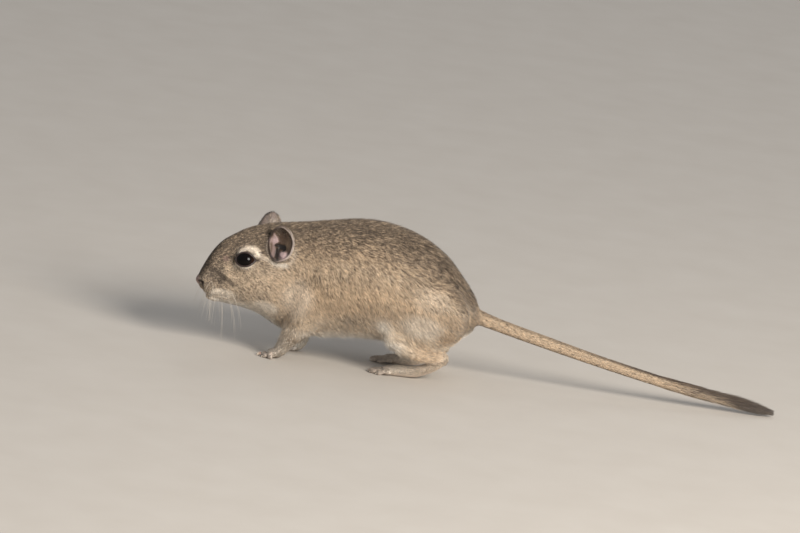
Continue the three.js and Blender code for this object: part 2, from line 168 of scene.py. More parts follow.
def waves(points, size, seed):
    """Soft random swells, about -1 to 1, with bumps of the given size."""
    draw = np.random.default_rng(seed)
    total = np.zeros(len(points))
    for _ in range(7):
        way = unit(draw.normal(size=3)) * draw.uniform(0.6, 1.5) * 2 * math.pi / size
        total += np.sin(points @ way + draw.uniform(0, 2 * math.pi))
    return total / 3.2


def turn_head(points):
    """Turns the head about the neck, less and less towards the shoulders."""
    points = np.array(points, float)
    behind = points[..., 1]
    share = 1 - ramp(behind, *NECK_TURNS)
    share = share * np.where(behind > NECK_TURNS[0], ramp(points[..., 2], *CHEST_TURNS), 1)
    angle = HEAD_TURN * share
    x, back = points[..., 0].copy(), behind - NECK_PIVOT
    points[..., 0] = x * np.cos(angle) - back * np.sin(angle)
    points[..., 1] = NECK_PIVOT + x * np.sin(angle) + back * np.cos(angle)
    return points


eye_low, eye_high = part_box("eye_left")
NOSE_AT = turn_head(EYE)[1] - (eye_low.y + eye_high.y) / 2 / MM  # from the frame's origin


def to_frame(points):
    placed = np.array(points, float)
    placed[..., 1] -= NOSE_AT
    return placed * MM


# Closed forms, each as points and faces
def loft(rings, first, last):
    """Rings of points joined in order and closed by a point at each end."""
    rings = np.asarray(rings)
    count, sides = rings.shape[:2]
    points = np.concatenate([rings.reshape(-1, 3), [first, last]])
    faces = []
    for side in range(sides):
        after = (side + 1) % sides
        faces.append((count * sides, side, after))
        for ring in range(count - 1):
            a = ring * sides
            faces.append((a + side, a + sides + side, a + sides + after, a + after))
        end = (count - 1) * sides
        faces.append((count * sides + 1, end + after, end + side))
    return points, faces


def gather(forms):
    """Several forms as one: all their points, and their faces numbered on."""
    points, faces, start = [], [], 0
    for form_points, form_faces in forms:
        points.append(np.asarray(form_points, float))
        faces += [tuple(int(i) + start for i in face) for face in form_faces]
        start += len(form_points)
    return np.concatenate(points), faces


def frames_along(centres):
    """For each centre of a line: the way along it, across it and square to both."""
    along = unit(np.gradient(centres, axis=0))
    across = unit(np.array([1.0, 0, 0]) - along * along[:, :1])
    return along, across, np.cross(along, across)


def limb(stations, sides=18, steps=6, domes=(75, 55, 35, 15)):
    """A round form through its stations, with a dome at each end."""
    stations = np.asarray(stations, float)
    table = eased(stations, np.linspace(0, len(stations) - 1, (len(stations) - 1) * steps + 1))
    centres = table[:, :3]
    along, across, up = frames_along(centres)
    turn = np.linspace(0, 2 * math.pi, sides, endpoint=False)[:, None]

    def ring(k, slide, scale):
        out = across[k] * np.cos(turn) * table[k, 3] + up[k] * np.sin(turn) * table[k, 4]
        return centres[k] + along[k] * slide + out * scale

    start, end = table[0, 3:].min(), table[-1, 3:].min()
    rings = [ring(0, -start * math.sin(math.radians(d)), math.cos(math.radians(d))) for d in domes]
    rings += [ring(k, 0, 1) for k in range(len(table))]
    rings += [ring(-1, end * math.sin(math.radians(d)), math.cos(math.radians(d))) for d in domes[::-1]]
    return loft(rings, centres[0] - along[0] * start, centres[-1] + along[-1] * end)


def ellipsoid(centre, radii, around=32, down=18):
    centre, radii = np.asarray(centre, float), np.asarray(radii, float)
    turn = np.linspace(0, 2 * math.pi, around, endpoint=False)
    rings = []
    for k in range(1, down):
        lean = math.pi * k / down
        wide, high = np.sin(lean), np.full(around, np.cos(lean))
        ring = np.stack([wide * np.cos(turn), wide * np.sin(turn), high], 1)
        rings.append(centre + ring * radii)
    top = centre + radii * (0, 0, 1)
    return loft(rings[::-1], centre - radii * (0, 0, 1), top)


def body_profile(behind):
    """Height of the back, height of the belly and half width, at places behind the nose."""
    table = np.array(STATIONS) / 100 * (BODY_LENGTH, BACK_HEIGHT, BACK_HEIGHT, BODY_HALF_WIDTH)
    dense = eased(table, np.linspace(0, len(table) - 1, 200))
    return [np.interp(behind, dense[:, 0], dense[:, k]) for k in (1, 2, 3)]


def trunk(sides=72, steps=6):
    table = np.array(STATIONS) / 100 * (BODY_LENGTH, BACK_HEIGHT, BACK_HEIGHT, BODY_HALF_WIDTH)
    dense = eased(table, np.linspace(0, len(table) - 1, (len(table) - 1) * steps + 1))
    turn = np.linspace(0, 2 * math.pi, sides, endpoint=False)
    out = np.sign(np.cos(turn)) * np.abs(np.cos(turn)) ** FLANK_FULLNESS
    up = np.sign(np.sin(turn)) * np.abs(np.sin(turn)) ** FLANK_FULLNESS
    rings = []
    for behind, top, bottom, half in dense:
        middle = bottom + (top - bottom) * WIDEST_AT
        rise = np.where(up > 0, top - middle, middle - bottom)
        rings.append(np.stack([half * out, np.full(sides, behind), middle + rise * up], 1))
    return loft(rings, (0, 0, 0.457 * BACK_HEIGHT), (0, BODY_LENGTH, 0.443 * BACK_HEIGHT))


def on_side(stations, side):
    return [(side * x, *rest) for x, *rest in stations]


def stepped(stations, side):
    """A foreleg's stations, with the right foot set further back."""
    placed = []
    for x, behind, up, *rest in stations:
        slant = STEP_BACK * (1 - up / SHOULDER_UP) if side < 0 else 0
        placed.append((side * x, behind + slant, up, *rest))
    return placed


def tail_radius(t):
    return TAIL_RADIUS * eased(TAIL_THICKNESS, np.asarray(t, float) * (len(TAIL_THICKNESS) - 1))


def tail_stations(start, end, count, radius_of):
    """Stations between two shares of the tail's length, down to the floor."""
    t = np.linspace(start, end, count)
    under = (TAIL_ROOT_UP - TAIL_RADIUS) * np.maximum(0, 1 - t / TAIL_TOUCHES) ** TAIL_DROP
    up = under + tail_radius(t) * TAIL_ASPECT * TAIL_SETTLES
    radius = radius_of(t)
    behind = TAIL_ROOT_BEHIND + TAIL_LENGTH * t
    return np.stack([-TAIL_SWING * t * t, behind, up, radius, radius * TAIL_ASPECT], 1)


def tail_core(t):
    """The tail's radius without the hair of its brush."""
    return tail_radius(t) * (1 - 0.5 * ramp(t, 0.7, 0.77)) * (1 - 0.5 * ramp(t, 0.85, 0.95))


# Toes and claws, fanned out from the front of each foot
TOE_SETS = {
    "forepaw": dict(
        out=9, behind=35.2, count=4, spread=2.3, fan=0.16, length=4.8, radius=0.95, shorten=0.22, claw=1.9,
    ),
    "hindfoot": dict(
        out=11, behind=83.4, count=5, spread=2.8, fan=0.1, length=6.6, radius=1.03, shorten=0.34, claw=2.1,
    ),
}
KNUCKLE_PLACES = [0, 0.2, 0.36, 0.52, 0.68, 0.88, 1.0]
KNUCKLE_SWELLS = [1.0, 1.06, 0.84, 1.0, 0.82, 1.02, 0.8]


def toe_lines(kind, side):
    """For each toe, a function from share of its length and height to a point, and its length."""
    sizes = TOE_SETS[kind]
    behind = sizes["behind"] + (STEP_BACK * 0.94 if kind == "forepaw" and side < 0 else 0)
    for k in range(sizes["count"]):
        share = 2 * k / (sizes["count"] - 1) - 1
        reach = sizes["length"] * (1 - sizes["shorten"] * share * share)
        root = behind + 1.4 * share * share
        out = sizes["out"] + share * sizes["spread"]

        def at(part, up, out=out, root=root, reach=reach, lean=share * sizes["fan"]):
            return (side * (out + lean * reach * part), root - reach * part, up)

        yield at, reach


def toes(kind, side):
    radius = TOE_SETS[kind]["radius"]
    heights = np.interp(KNUCKLE_PLACES, [0, 0.5, 1], [radius + 0.5, radius + 0.35, radius * 0.8])
    pad = (radius * 0.95, radius * 1.2, radius * 0.7)
    forms = []
    for at, _ in toe_lines(kind, side):
        stations = [
            (*at(part, up), radius * swell, radius * swell)
            for part, swell, up in zip(KNUCKLE_PLACES, KNUCKLE_SWELLS, heights)
        ]
        forms.append(limb(stations, sides=14, steps=3))
        forms.append(ellipsoid(at(0.86, radius * 0.72), pad, 16, 10))
    return forms


# One skin over all the flesh
def arrays_of(mesh):
    points = np.empty(len(mesh.vertices) * 3)
    mesh.vertices.foreach_get("co", points)
    mesh.calc_loop_triangles()
    faces = np.empty(len(mesh.loop_triangles) * 3, np.int32)
    mesh.loop_triangles.foreach_get("vertices", faces)
    return points.reshape(-1, 3), faces.reshape(-1, 3)


def fused(forms, voxel):
    """All the forms as one closed surface of even small faces."""
    points, faces = gather(forms)
    mesh = bpy.data.meshes.new("fusing")
    mesh.from_pydata(points.tolist(), [], faces)
    holder = bpy.data.objects.new("fusing", mesh)
    bpy.context.scene.collection.objects.link(holder)
    remesh = holder.modifiers.new("fuse", "REMESH")
    remesh.mode = "VOXEL"
    remesh.voxel_size = voxel
    remesh.adaptivity = 0
    made = bpy.data.meshes.new_from_object(holder.evaluated_get(bpy.context.evaluated_depsgraph_get()))
    bpy.data.objects.remove(holder)
    bpy.data.meshes.remove(mesh)
    return made


def edges_of(mesh):
    pairs = np.empty(len(mesh.edges) * 2, np.int32)
    mesh.edges.foreach_get("vertices", pairs)
    return pairs.reshape(-1, 2)


def relax(points, pairs, rounds, strength):
    """Draws each point towards the middle of its neighbours."""
    a, b = pairs.T
    count = len(points)
    links = (np.bincount(a, minlength=count) + np.bincount(b, minlength=count))[:, None]
    strength = np.broadcast_to(strength, count)[:, None]
    for _ in range(rounds):
        total = np.stack(
            [np.bincount(a, points[b, k], count) + np.bincount(b, points[a, k], count) for k in range(3)], 1
        )
        points = points + strength * (total / links - points)
    return points


def normals_of(points, faces):
    corners = points[faces]
    flat = np.cross(corners[:, 1] - corners[:, 0], corners[:, 2] - corners[:, 0])
    total = np.zeros_like(points)
    for k in range(3):
        for axis in range(3):
            total[:, axis] += np.bincount(faces[:, k], flat[:, axis], len(points))
    return unit(total)


BODY_VOXEL = 0.8
SKIN_VOXEL = 0.34
NOSE_TIP = ((0, 1.7, 28), (2.5, 1.8, 2.1))
CHIN = ((0, 9.4, 21.2), (4.2, 4.6, 1.7))
PAD_CENTRE = (4, 8.2, 26.2)
PAD_RADII = (3.5, 5.8, 3.6)
TAIL_BRUSH_ENDS = 0.955


def bare_form():
    """The whole animal without its coat, before the face is worked."""
    forms = [trunk()]
    for side in SIDES.values():
        forms.append(ellipsoid(np.array(THIGH_CENTRE) * (side, 1, 1), THIGH_RADII, 48, 30))
        forms.append(limb(on_side(SHANK, side)))
        forms.append(limb(stepped(FORELEG[:5], side)))
    forms.append(limb(tail_stations(0, 0.3, 12, tail_radius)))
    body = fused(forms, BODY_VOXEL)
    points, _ = arrays_of(body)
    high = ramp(points[:, 2], 9, 17) * (1 - ramp(points[:, 1], 118, 124))
    points = relax(points, edges_of(body), 16, 0.06 + 0.5 * high)
    body_faces = [tuple(face.vertices) for face in body.polygons]

    forms = [(points, body_faces)]
    forms.append(ellipsoid(*NOSE_TIP))
    forms.append(ellipsoid(*CHIN))
    for side in SIDES.values():
        forms.append(ellipsoid(np.array(PAD_CENTRE) * (side, 1, 1), PAD_RADII))
        forms.append(limb(stepped(FORELEG[2:], side)))
        forms.append(limb(on_side(HINDFOOT, side)))
        forms += toes("forepaw", side) + toes("hindfoot", side)
    forms.append(limb(tail_stations(0, TAIL_BRUSH_ENDS, 60, tail_core)))
    return fused(forms, SKIN_VOXEL)


# Lines down the middle of each limb, for the lie of the coat and for unwrapping the skin
def trunk_line():
    behind = np.linspace(0, BODY_LENGTH, 60)
    top, bottom, half = body_profile(behind)
    middle = (top + bottom) / 2
    return np.stack([np.zeros_like(behind), behind, middle, half, (top - bottom) / 2], 1)


def line_through(stations, count=48):
    """Evenly many places along a limb, with its radii."""
    return eased(stations, np.linspace(0, len(stations) - 1, count))


def about_line(points, line):
    """Place along the line from 0 to 1, angle round it, distance over its radius, and its direction."""
    centres = line[:, :3]
    gaps = (points**2).sum(1)[:, None] - 2 * points @ centres.T + (centres**2).sum(1)
    nearest = gaps.argmin(1)
    along, across, up = frames_along(centres)
    away = points - centres[nearest]
    x, y = dot(away, across[nearest]), dot(away, up[nearest])
    wide, deep = line[nearest, 3], line[nearest, 4]
    step = np.linalg.norm(np.diff(centres, axis=0), axis=1).mean()
    place = (nearest + dot(away, along[nearest]) / step) / (len(line) - 1)
    distance = np.sqrt((x / wide) ** 2 + (y / deep) ** 2 + (dot(away, along[nearest]) / deep) ** 2)
    return dict(place=place, angle=np.arctan2(x, -y), distance=distance, along=along[nearest])


def limb_lines():
    """The middle line of the tail and of each length of leg."""
    lines = {"tail": tail_stations(0, 1, 60, tail_radius)}
    for name, side in SIDES.items():
        foreleg, hindfoot = stepped(FORELEG, side), on_side(HINDFOOT, side)
        finger_tips = (side * 9, foreleg[-1][1] - 5, 0.9, 3, 1.2)
        toe_tips = (side * 11, 76, 0.9, 3.4, 1.2)
        lines["foreleg_" + name] = line_through(foreleg + [finger_tips])
        lines["shank_" + name] = line_through(on_side(SHANK, side))
        lines["hindfoot_" + name] = line_through(hindfoot + [toe_tips])
    return lines


# The eye's own axes: rearwards, up, and the way it looks
EYE_TILT = math.radians(8)
LID_REARWARD = 0.25
LID_HALF_LENGTH = 4.0
LID_HALF_HEIGHT = 2.9
LID_POINTS = 96
LID_SIDES = 10


def eye_axes(side):
    """Rearwards along the lids, up across them, and the way the eye looks."""
    looks = unit(np.array(EYE_LOOKS) * (side, 1, 1))
    up = unit(np.array([0, 0, 1.0]) - looks * looks[2])
    rear = np.cross(up, looks) * side
    level, tilt = math.cos(EYE_TILT), math.sin(EYE_TILT)
    return rear * level + up * tilt, up * level - rear * tilt, looks


def eye_view(points, side):
    """Points as seen by one eye: place in its opening, where 1 is the rim, and the way it looks."""
    rear, up, looks = eye_axes(side)
    away = points - np.array(EYE) * (side, 1, 1)
    a, b, c = dot(away, rear), dot(away, up), dot(away, looks)
    rim = np.sqrt(((a - LID_REARWARD) / LID_HALF_LENGTH) ** 2 + np.abs(b / LID_HALF_HEIGHT) ** 1.6)
    return a, b, c, rim


def seat_eyes(points):
    """Opens the lids round each eye and rests them on the eyeball."""
    for side in SIDES.values():
        _, _, looks = eye_axes(side)
        a, b, c, rim = eye_view(points, side)
        near = (c > 0) & (a * a + b * b < 60)
        ball = np.sqrt(np.maximum(0.3, (EYE_RADIUS + 0.32) ** 2 - a * a - b * b))
        inner = np.sqrt(np.maximum(0, (EYE_RADIUS - 0.9) ** 2 - a * a - b * b))
        wanted = np.where(rim < 1, inner, ball)
        share = np.where(rim < 1, 1, 1 - ramp(rim, 1.02, 1.5)) * near
        points = points + looks * ((wanted - c) * share)[:, None]
    return points


def seat_ears(points):
    """Sinks the skin under each ear to just behind its cup."""
    for side in SIDES.values():
        _, opens, _ = ear_axes(side)
        a, b, out = ear_view(points, side)
        behind_cup = EAR_DEPTH * ear_cup(a, b) - 0.3
        share = (1 - ramp(np.hypot(a, b), 0.9, 1.04)) * (np.abs(out) < 9)
        points = points + opens * (np.minimum(0, behind_cup - out) * share)[:, None]
    return points


# Marks pressed into the face, with their places for one side
NOSTRILS = [((1.75, 0.8, 27.3), (0.7, 1.1, 0.62), 0.9), ((3.2, 1.9, 27.5), (0.9, 1.2, 0.6), 0.6)]
CLEFT = [(0, -0.2, 26.6), (0, 1.1, 25.2), (0, 2.8, 23.8)]
LIP_LINE = [(0, 2.6, 24), (3, 4.4, 23.2), (5.4, 8.0, 22.8), (6.8, 11.8, 23.2)]
NOSE_FOLD = [(1.2, 1.6, 30.3), (2.7, 2.9, 29.2), (3.0, 3.4, 27.6), (2.2, 2.4, 26.2)]


def near_line(points, line):
    """How far each point is from a curve."""
    dense = eased(line, np.linspace(0, len(line) - 1, 40))
    gaps = (points**2).sum(1)[:, None] - 2 * points @ dense.T + (dense**2).sum(1)
    return np.sqrt(np.maximum(0, gaps.min(1)))


def stroke(points, line, reach, amount=1.0):
    """A soft mark along a line."""
    return amount * np.exp(-((near_line(points, line) / reach) ** 2))


def near_spot(points, centre, radii):
    """How far each point is from a centre, in the spot's own radii."""
    return np.sqrt((((points - centre) / radii) ** 2).sum(1))


def mirrored(points):
    """All points as if on the left side."""
    return np.concatenate([np.abs(points[:, :1]), points[:, 1:]], 1)


def work_face(points, normals):
    """Presses in the nostrils, the lips and the folds of the nose."""
    half = mirrored(points)
    press = np.zeros(len(points))
    for centre, radii, depth in NOSTRILS:
        press += depth * np.exp(-near_spot(half, centre, radii) ** 2)
    press += stroke(half, CLEFT, 0.42, 0.45)
    press += stroke(half, LIP_LINE, 0.45, 0.5)
    press += stroke(half, NOSE_FOLD, 0.4, 0.22)
    return points - normals * press[:, None]


FINE_MUZZLE_BEHIND = 15
EYE_FINE_REACH = 6.5


def finer_where_worked(mesh):
    """Splits the faces of the muzzle and round the eyes, where the folds are."""
    work = bmesh.new()
    work.from_mesh(mesh)
    work.verts.ensure_lookup_table()
    eyes = [Vector(np.array(EYE) * (side, 1, 1)) for side in SIDES.values()]

    def worked(point):
        if point.y < FINE_MUZZLE_BEHIND:
            return True
        return any((point - eye).length < EYE_FINE_REACH for eye in eyes)

    edges = [edge for edge in work.edges if all(worked(vertex.co) for vertex in edge.verts)]
    bmesh.ops.subdivide_edges(work, edges=edges, cuts=1, use_grid_fill=True, smooth=0)
    bmesh.ops.triangulate(work, faces=work.faces[:])
    work.to_mesh(mesh)
    work.free()


HEAD_ENDS = (26, 40)  # where the head's coat gives way to the body's

# How long, wide and deep the coat is: place behind the nose, length, width, depth of the coat
COAT_ALONG_BODY = [
    (0, 0.45, 0.1, 0.04),
    (3, 0.7, 0.11, 0.1),
    (8, 1.0, 0.12, 0.18),
    (14, 1.3, 0.14, 0.28),
    (22, 1.6, 0.15, 0.36),
    (32, 1.9, 0.17, 0.5),
    (45, 2.4, 0.19, 0.7),
    (65, 2.8, 0.21, 0.85),
    (95, 2.9, 0.21, 0.85),
    (110, 2.7, 0.2, 0.8),
    (118, 2.2, 0.19, 0.6),
]
COAT_ON_LIMBS = {  # place along the limb, then as above
    "foreleg": [
        (0.2, 2.6, 0.2, 0.8),
        (0.42, 2.0, 0.18, 0.5),
        (0.6, 1.2, 0.15, 0.22),
        (0.8, 0.8, 0.12, 0.1),
        (1, 0.6, 0.1, 0.05),
    ],
    "shank": [(0.1, 2.8, 0.2, 0.85), (0.6, 2.2, 0.18, 0.5), (1, 1.4, 0.15, 0.25)],
    "hindfoot": [(0, 1.4, 0.14, 0.22), (0.3, 1.0, 0.12, 0.12), (0.75, 0.8, 0.11, 0.08), (1, 0.6, 0.1, 0.04)],
    "tail": [(0, 2.2, 0.2, 0.45), (0.08, 1.8, 0.16, 0.22), (0.6, 1.8, 0.16, 0.2), (1, 2.6, 0.18, 0.3)],
}
FADE_IN = {"foreleg": (0.1, 0.4), "shank": (0.15, 0.6), "hindfoot": (-0.2, 0.0), "tail": (0.0, 0.05)}
JOINS_BODY = {"shank": (17, 24), "foreleg": (16, 24)}  # heights between which a leg becomes the body
BARE_NOSE = ((0, 0.8, 27.6), (2.5, 2.4, 2.2))


def coat_table(table, place):
    """Length, width and depth of the coat at each place."""
    places, *columns = np.transpose(table)
    return [np.interp(place, places, column) for column in columns]


# Where the coat parts round the eye and the ear: centre, push, and where the push fades out
PARTINGS = [(EYE, 1.1, 4.8, 8.5), ((10.5, 31.5, 45.5), 0.8, 4.5, 9.0)]


def lie_on_body(points, rel):
    """The way the coat lies on head and trunk."""
    behind = points[:, 1]
    down = np.interp(rel, [0, 0.12, 0.3, 0.55, 0.8, 1], [0.1, 0.7, 1.15, 1.0, 0.55, 0.28])
    head_down = np.interp(rel, [0, 0.3, 0.6, 1], [0.25, 0.45, 0.2, 0.05])
    down = mix(head_down, down, ramp(behind, 26, 46))
    down = mix(down, 0.55, ramp(behind, 104, 116))
    outwards = np.sign(points[:, 0]) * ramp(np.abs(points[:, 0]), 0, 4)
    out = 0.3 * ramp(rel, 0.75, 0.95) * outwards
    lie = np.stack([out, np.ones(len(points)), -down], 1)
    from_nose = unit(points - (0, 2, 27.5))
    lie = mix(lie, from_nose * 1.2, 1 - ramp(behind, 2, 12))
    for side in SIDES.values():
        for centre, push, start, end in PARTINGS:
            away = points - np.array(centre) * (side, 1, 1)
            reach = np.linalg.norm(away, axis=1)
            lie = lie + unit(away) * (push * (1 - ramp(reach, start, end)))[:, None]
    return lie


def spot(points, centre, radii, amount=1.0):
    """A soft mark about a centre."""
    return amount * (1 - ramp(near_spot(points, centre, radii), 0.55, 1.25))


def trunk_markings(points, rel, head):
    """The markings of head and trunk, where rel is the height from belly to back."""
    behind, half = points[:, 1], mirrored(points)
    dark = np.interp(rel, [0, 0.14, 0.35, 0.6, 0.85, 1], [0, 0.12, 0.3, 0.44, 0.8, 1.0])
    dark = mix(dark, 0.5 + 0.5 * ramp(rel, 0.5, 0.8), head)
    muzzle = (1 - ramp(behind, 8, 16)) * ramp(rel, -0.1, 0.2)
    dark = np.maximum(dark, (0.74 + 0.2 * ramp(rel, 0.4, 0.7)) * muzzle)
    on_thigh = ramp(behind, 86, 94) * ramp(half[:, 0], 7, 11)
    pale = (1 - ramp(rel, 0.0, 0.11)) * (1 - 0.85 * on_thigh)
    pale = mix(pale, (1 - ramp(rel, 0.02, 0.14)) * ramp(behind, 4, 11), head)
    low_flank = ramp(rel, 0.1, 0.3) * (1 - ramp(rel, 0.4, 0.7))
    warm = 0.25 * low_flank * (1 - 0.7 * head) + 0.26 * ramp(rel, 0.5, 0.8)
    none = np.zeros(len(points))
    marks = dict(dark=dark, pale=pale, warm=warm, pink=none, soot_and_shade=none)
    for key, spots in dict(dark=DARK_SPOTS, pale=PALE_SPOTS, warm=WARM_SPOTS, pink=PINK_SPOTS).items():
        for mark in spots:
            marks[key] = np.maximum(marks[key], spot(half, *mark))
    for key, lines in dict(pale=PALE_LINES, soot_and_shade=SOOT_AND_SHADE_LINES).items():
        for mark in lines:
            marks[key] = np.maximum(marks[key], stroke(half, *mark))
    marks["dark"] = marks["dark"] * (1 - 0.85 * marks["pale"])
    return marks


def skin_fields(points, normals):
    """Everything that varies over the skin: the coat's build and lie, the markings and the charts."""
    behind = points[:, 1]
    top, bottom, _ = body_profile(behind)
    rel = np.clip((points[:, 2] - bottom) / (top - bottom), 0, 1)
    head = 1 - ramp(behind, *HEAD_ENDS)
    length, width, depth = coat_table(COAT_ALONG_BODY, behind)
    loose = (1 - ramp(rel, 0.04, 0.2)) * ramp(behind, 24, 40) * (1 - ramp(behind, 104, 112))
    length = length * (1 + 0.3 * loose) * (1 + 0.1 * waves(points, 14, 3))
    half = mirrored(points)
    bare = np.maximum(spot(half, *BARE_NOSE), stroke(half, LIP_LINE, 0.5))
    fields = dict(length=length, width=width, depth=depth, loose=loose, bare=bare)
    fields["cover"] = mix(1.0, 1.3, head)
    fields.update(trunk_markings(points, rel, head))

    lie = lie_on_body(points, rel)
    chart = np.zeros(len(points), int)
    place = about_line(points, trunk_line())["place"]
    angle = np.arctan2(points[:, 0], points[:, 2] - (top + bottom) / 2)
    closest = np.full(len(points), 9.0)
    for number, (name, line) in enumerate(limb_lines().items(), 1):
        kind = name.split("_")[0]
        reached = about_line(points, line)
        share = (1 - ramp(reached["distance"], 1.25, 1.7)) * ramp(reached["place"], *FADE_IN[kind])
        if kind != "tail":
            share = share * (np.sign(points[:, 0]) == np.sign(line[0, 0]))
        if kind in JOINS_BODY:
            share = share * (1 - ramp(points[:, 2], *JOINS_BODY[kind]))
        build = zip(("length", "width", "depth"), coat_table(COAT_ON_LIMBS[kind], reached["place"]))
        for key, value in {**dict(build), **limb_markings(kind, reached, points, normals)}.items():
            fields[key] = mix(fields[key], value, share)
        lie = mix(unit(lie), reached["along"], share)
        if kind == "tail":
            fields["cover"] = fields["cover"] * (1 - ramp(reached["place"], 0.68, 0.8) * share)
        if kind == "hindfoot":
            fields["bare"] = np.maximum(fields["bare"], share * ramp(-normals[:, 2], 0.3, 0.7))
        own = (share > 0.5) & (reached["distance"] < closest)
        closest[own] = reached["distance"][own]
        chart[own], place[own], angle[own] = number, reached["place"][own], reached["angle"][own]
    lie = lie + 0.16 * np.stack([waves(points, 9, 20 + k) for k in range(3)], 1)
    fields["lie"] = unit(lie - normals * dot(lie, normals)[:, None])
    fields.update(chart=chart, place=place, angle=angle)
    return fields


# Markings for one side of the face and body: centre, reach and strength
PALE_SPOTS = [
    ((7.2, 11.0, 24.2), (3.6, 6.0, 2.6), 0.52),  # whisker pad and lips
    ((5.0, 112.6, 17.0), (6.0, 4.5, 3.6), 0.8),  # under the root of the tail
    ((10.0, 28.5, 20.0), (5.0, 7.0, 4.0), 0.6),  # throat
    ((16.0, 42.0, 26.0), (6.0, 9.0, 9.0), 0.35),  # shoulder, paler where it bulges: partly painted light
    ((21.0, 96.0, 23.0), (6.0, 10.0, 6.0), 0.5),  # thigh, paler on its lower side: partly painted light
    ((21.5, 99.0, 34.5), (5.0, 9.0, 7.0), 0.2),  # painted sheen on the hip
]
PALE_LINES = [
    ([(8.6, 16, 43.6), (9.2, 18.6, 45.2), (10.2, 21.6, 44.9), (11, 23.2, 43)], 1.5, 0.74),  # above the eye
    ([(9.5, 14.3, 36.9), (10.9, 18.2, 36.7), (11.6, 21.3, 38.3)], 0.9, 0.68),  # below the eye
    ([(11.4, 24.0, 42.4), (12.5, 26.8, 41.6), (13.0, 29.4, 40.9)], 1.2, 0.42),  # from the eye to the ear
    ([(13.0, 29.2, 40.4), (13.2, 32.4, 39.7), (13.2, 35.0, 39.8)], 1.05, 0.86),  # under the ear
    ([(13.1, 36.6, 41.0), (12.9, 38.0, 43.6), (12.2, 38.2, 46.4)], 1.1, 0.42),  # behind the ear
    ([(18.7, 80.8, 20.4), (16.4, 84, 16.6), (15.8, 88, 13.8), (15.8, 94, 11.4)], 3.5, 0.85),  # thigh's front
]
DARK_SPOTS = [
    ((9.6, 25.2, 46.4), (2.6, 2.6, 3.6), 0.85),  # between the eye and the ear
    ((7.0, 7.6, 31.2), (4.0, 6.4, 3.8), 0.85),  # over the whisker pad
    ((18.6, 69.0, 21.5), (5.0, 9.0, 4.0), 0.5),  # flank before the thigh, partly painted shade in the hollow there
    ((20.0, 107.5, 20.5), (4.0, 3.4, 4.0), 0.45),  # under the hip
]
WARM_SPOTS = [
    ((18.5, 107.0, 20.0), (5.0, 4.5, 4.0), 0.45),
    ((12.0, 97.0, 16.0), (6.0, 8.0, 6.0), 0.45),
]
PINK_SPOTS = [
    ((0, 0.6, 27.8), (2.8, 2.4, 2.4), 0.75),
    ((0, 9.8, 20.4), (2.2, 3.0, 1.2), 0.3),
    ((7.4, 10.4, 39.4), (1.6, 1.5, 1.3), 0.45),
]
SOOT_AND_SHADE_LINES = [
    ([(6.4, 5.6, 34.2), (8.2, 9.6, 31.6), (9.8, 14.4, 29.0)], 1.1, 0.68),  # follicles above the whisker pad, partly painted shade in the fold along the pad's upper edge
    ([(5.6, 4.8, 31.2), (7.4, 8.6, 30.2), (8.8, 12.4, 27.8)], 0.5, 0.5),
    ([(5.2, 4.6, 28.6), (7.0, 8.4, 27.8), (8.3, 11.6, 25.8)], 0.4, 0.45),
    ([(10.7, 21.4, 41.2), (11.7, 23.4, 40.9)], 0.45, 0.85),  # rear corner of the eye
    ([(8.9, 13.2, 41.0), (7.9, 11.4, 40.2)], 0.62, 0.85),  # front corner
    ([(1.9, 0.7, 27.5), (3.0, 1.5, 27.8), (3.9, 2.6, 26.8), (4.4, 3.4, 26.2)], 0.75, 0.95),  # painted shade in the nostrils' openings
    ([(0.5, 1.6, 32.4), (0.8, 4.4, 37.4), (0.9, 8.4, 42.4)], 1.5, 0.25),  # bridge of the nose
]


def limb_markings(kind, reached, points, normals):
    """The markings of a tail, foreleg, shank or hind foot."""
    place = reached["place"]
    inner = ramp(-normals[:, 0] * np.sign(points[:, 0]), 0.1, 0.7)
    if kind == "tail":
        above = ramp(normals[:, 2], -0.25, 0.45)
        far = ramp(place, 0.3, 0.62)
        crest = ramp(normals[:, 2], 0.6, 0.9)
        # painted shade along the tail's underside
        under = ramp(-normals[:, 2], 0.7, 0.95)
        brush = above * ramp(place, 0.75, 0.88)
        soot_and_shade = 0.14 + crest * (0.35 + 0.4 * far) + 0.35 * under + 0.7 * brush
        return dict(
            dark=0.2 + 0.1 * above,
            pale=0.1 * (1 - above),
            warm=0.36 - 0.1 * above,
            pink=0.0,
            soot_and_shade=np.clip(soot_and_shade, 0, 0.9),
        )
    if kind == "foreleg":
        return dict(
            dark=0.2 * (1 - ramp(place, 0.2, 0.5)),
            pale=np.maximum(0.3 + 0.35 * ramp(place, 0.2, 0.55), inner),
            warm=0.3 * (1 - inner),
            pink=0.22 * ramp(place, 0.7, 0.95),
            soot_and_shade=0.15 * ramp(place, 0.6, 0.9),
        )
    if kind == "shank":
        front = ramp(place, 0.75, 0.1) * ramp(normals[:, 1], 0.3, -0.5)
        pale = np.maximum(np.maximum(0.2, inner), front)
        return dict(dark=0.15 * (1 - inner), pale=pale, warm=0.45 * (1 - inner))
    return dict(
        dark=0.0,
        pale=0.4,
        warm=0.35 * (1 - ramp(place, 0.2, 0.8)),
        pink=0.2 * ramp(place, 0.65, 0.95) + 0.15 * ramp(-normals[:, 2], 0.2, 0.8),
        soot_and_shade=0.1 * ramp(place, 0.6, 0.9),
    )


# Making pieces
MARKS = ("dark", "pale", "warm", "pink", "soot_and_shade")
ABOVE_FLOOR = 0.00003


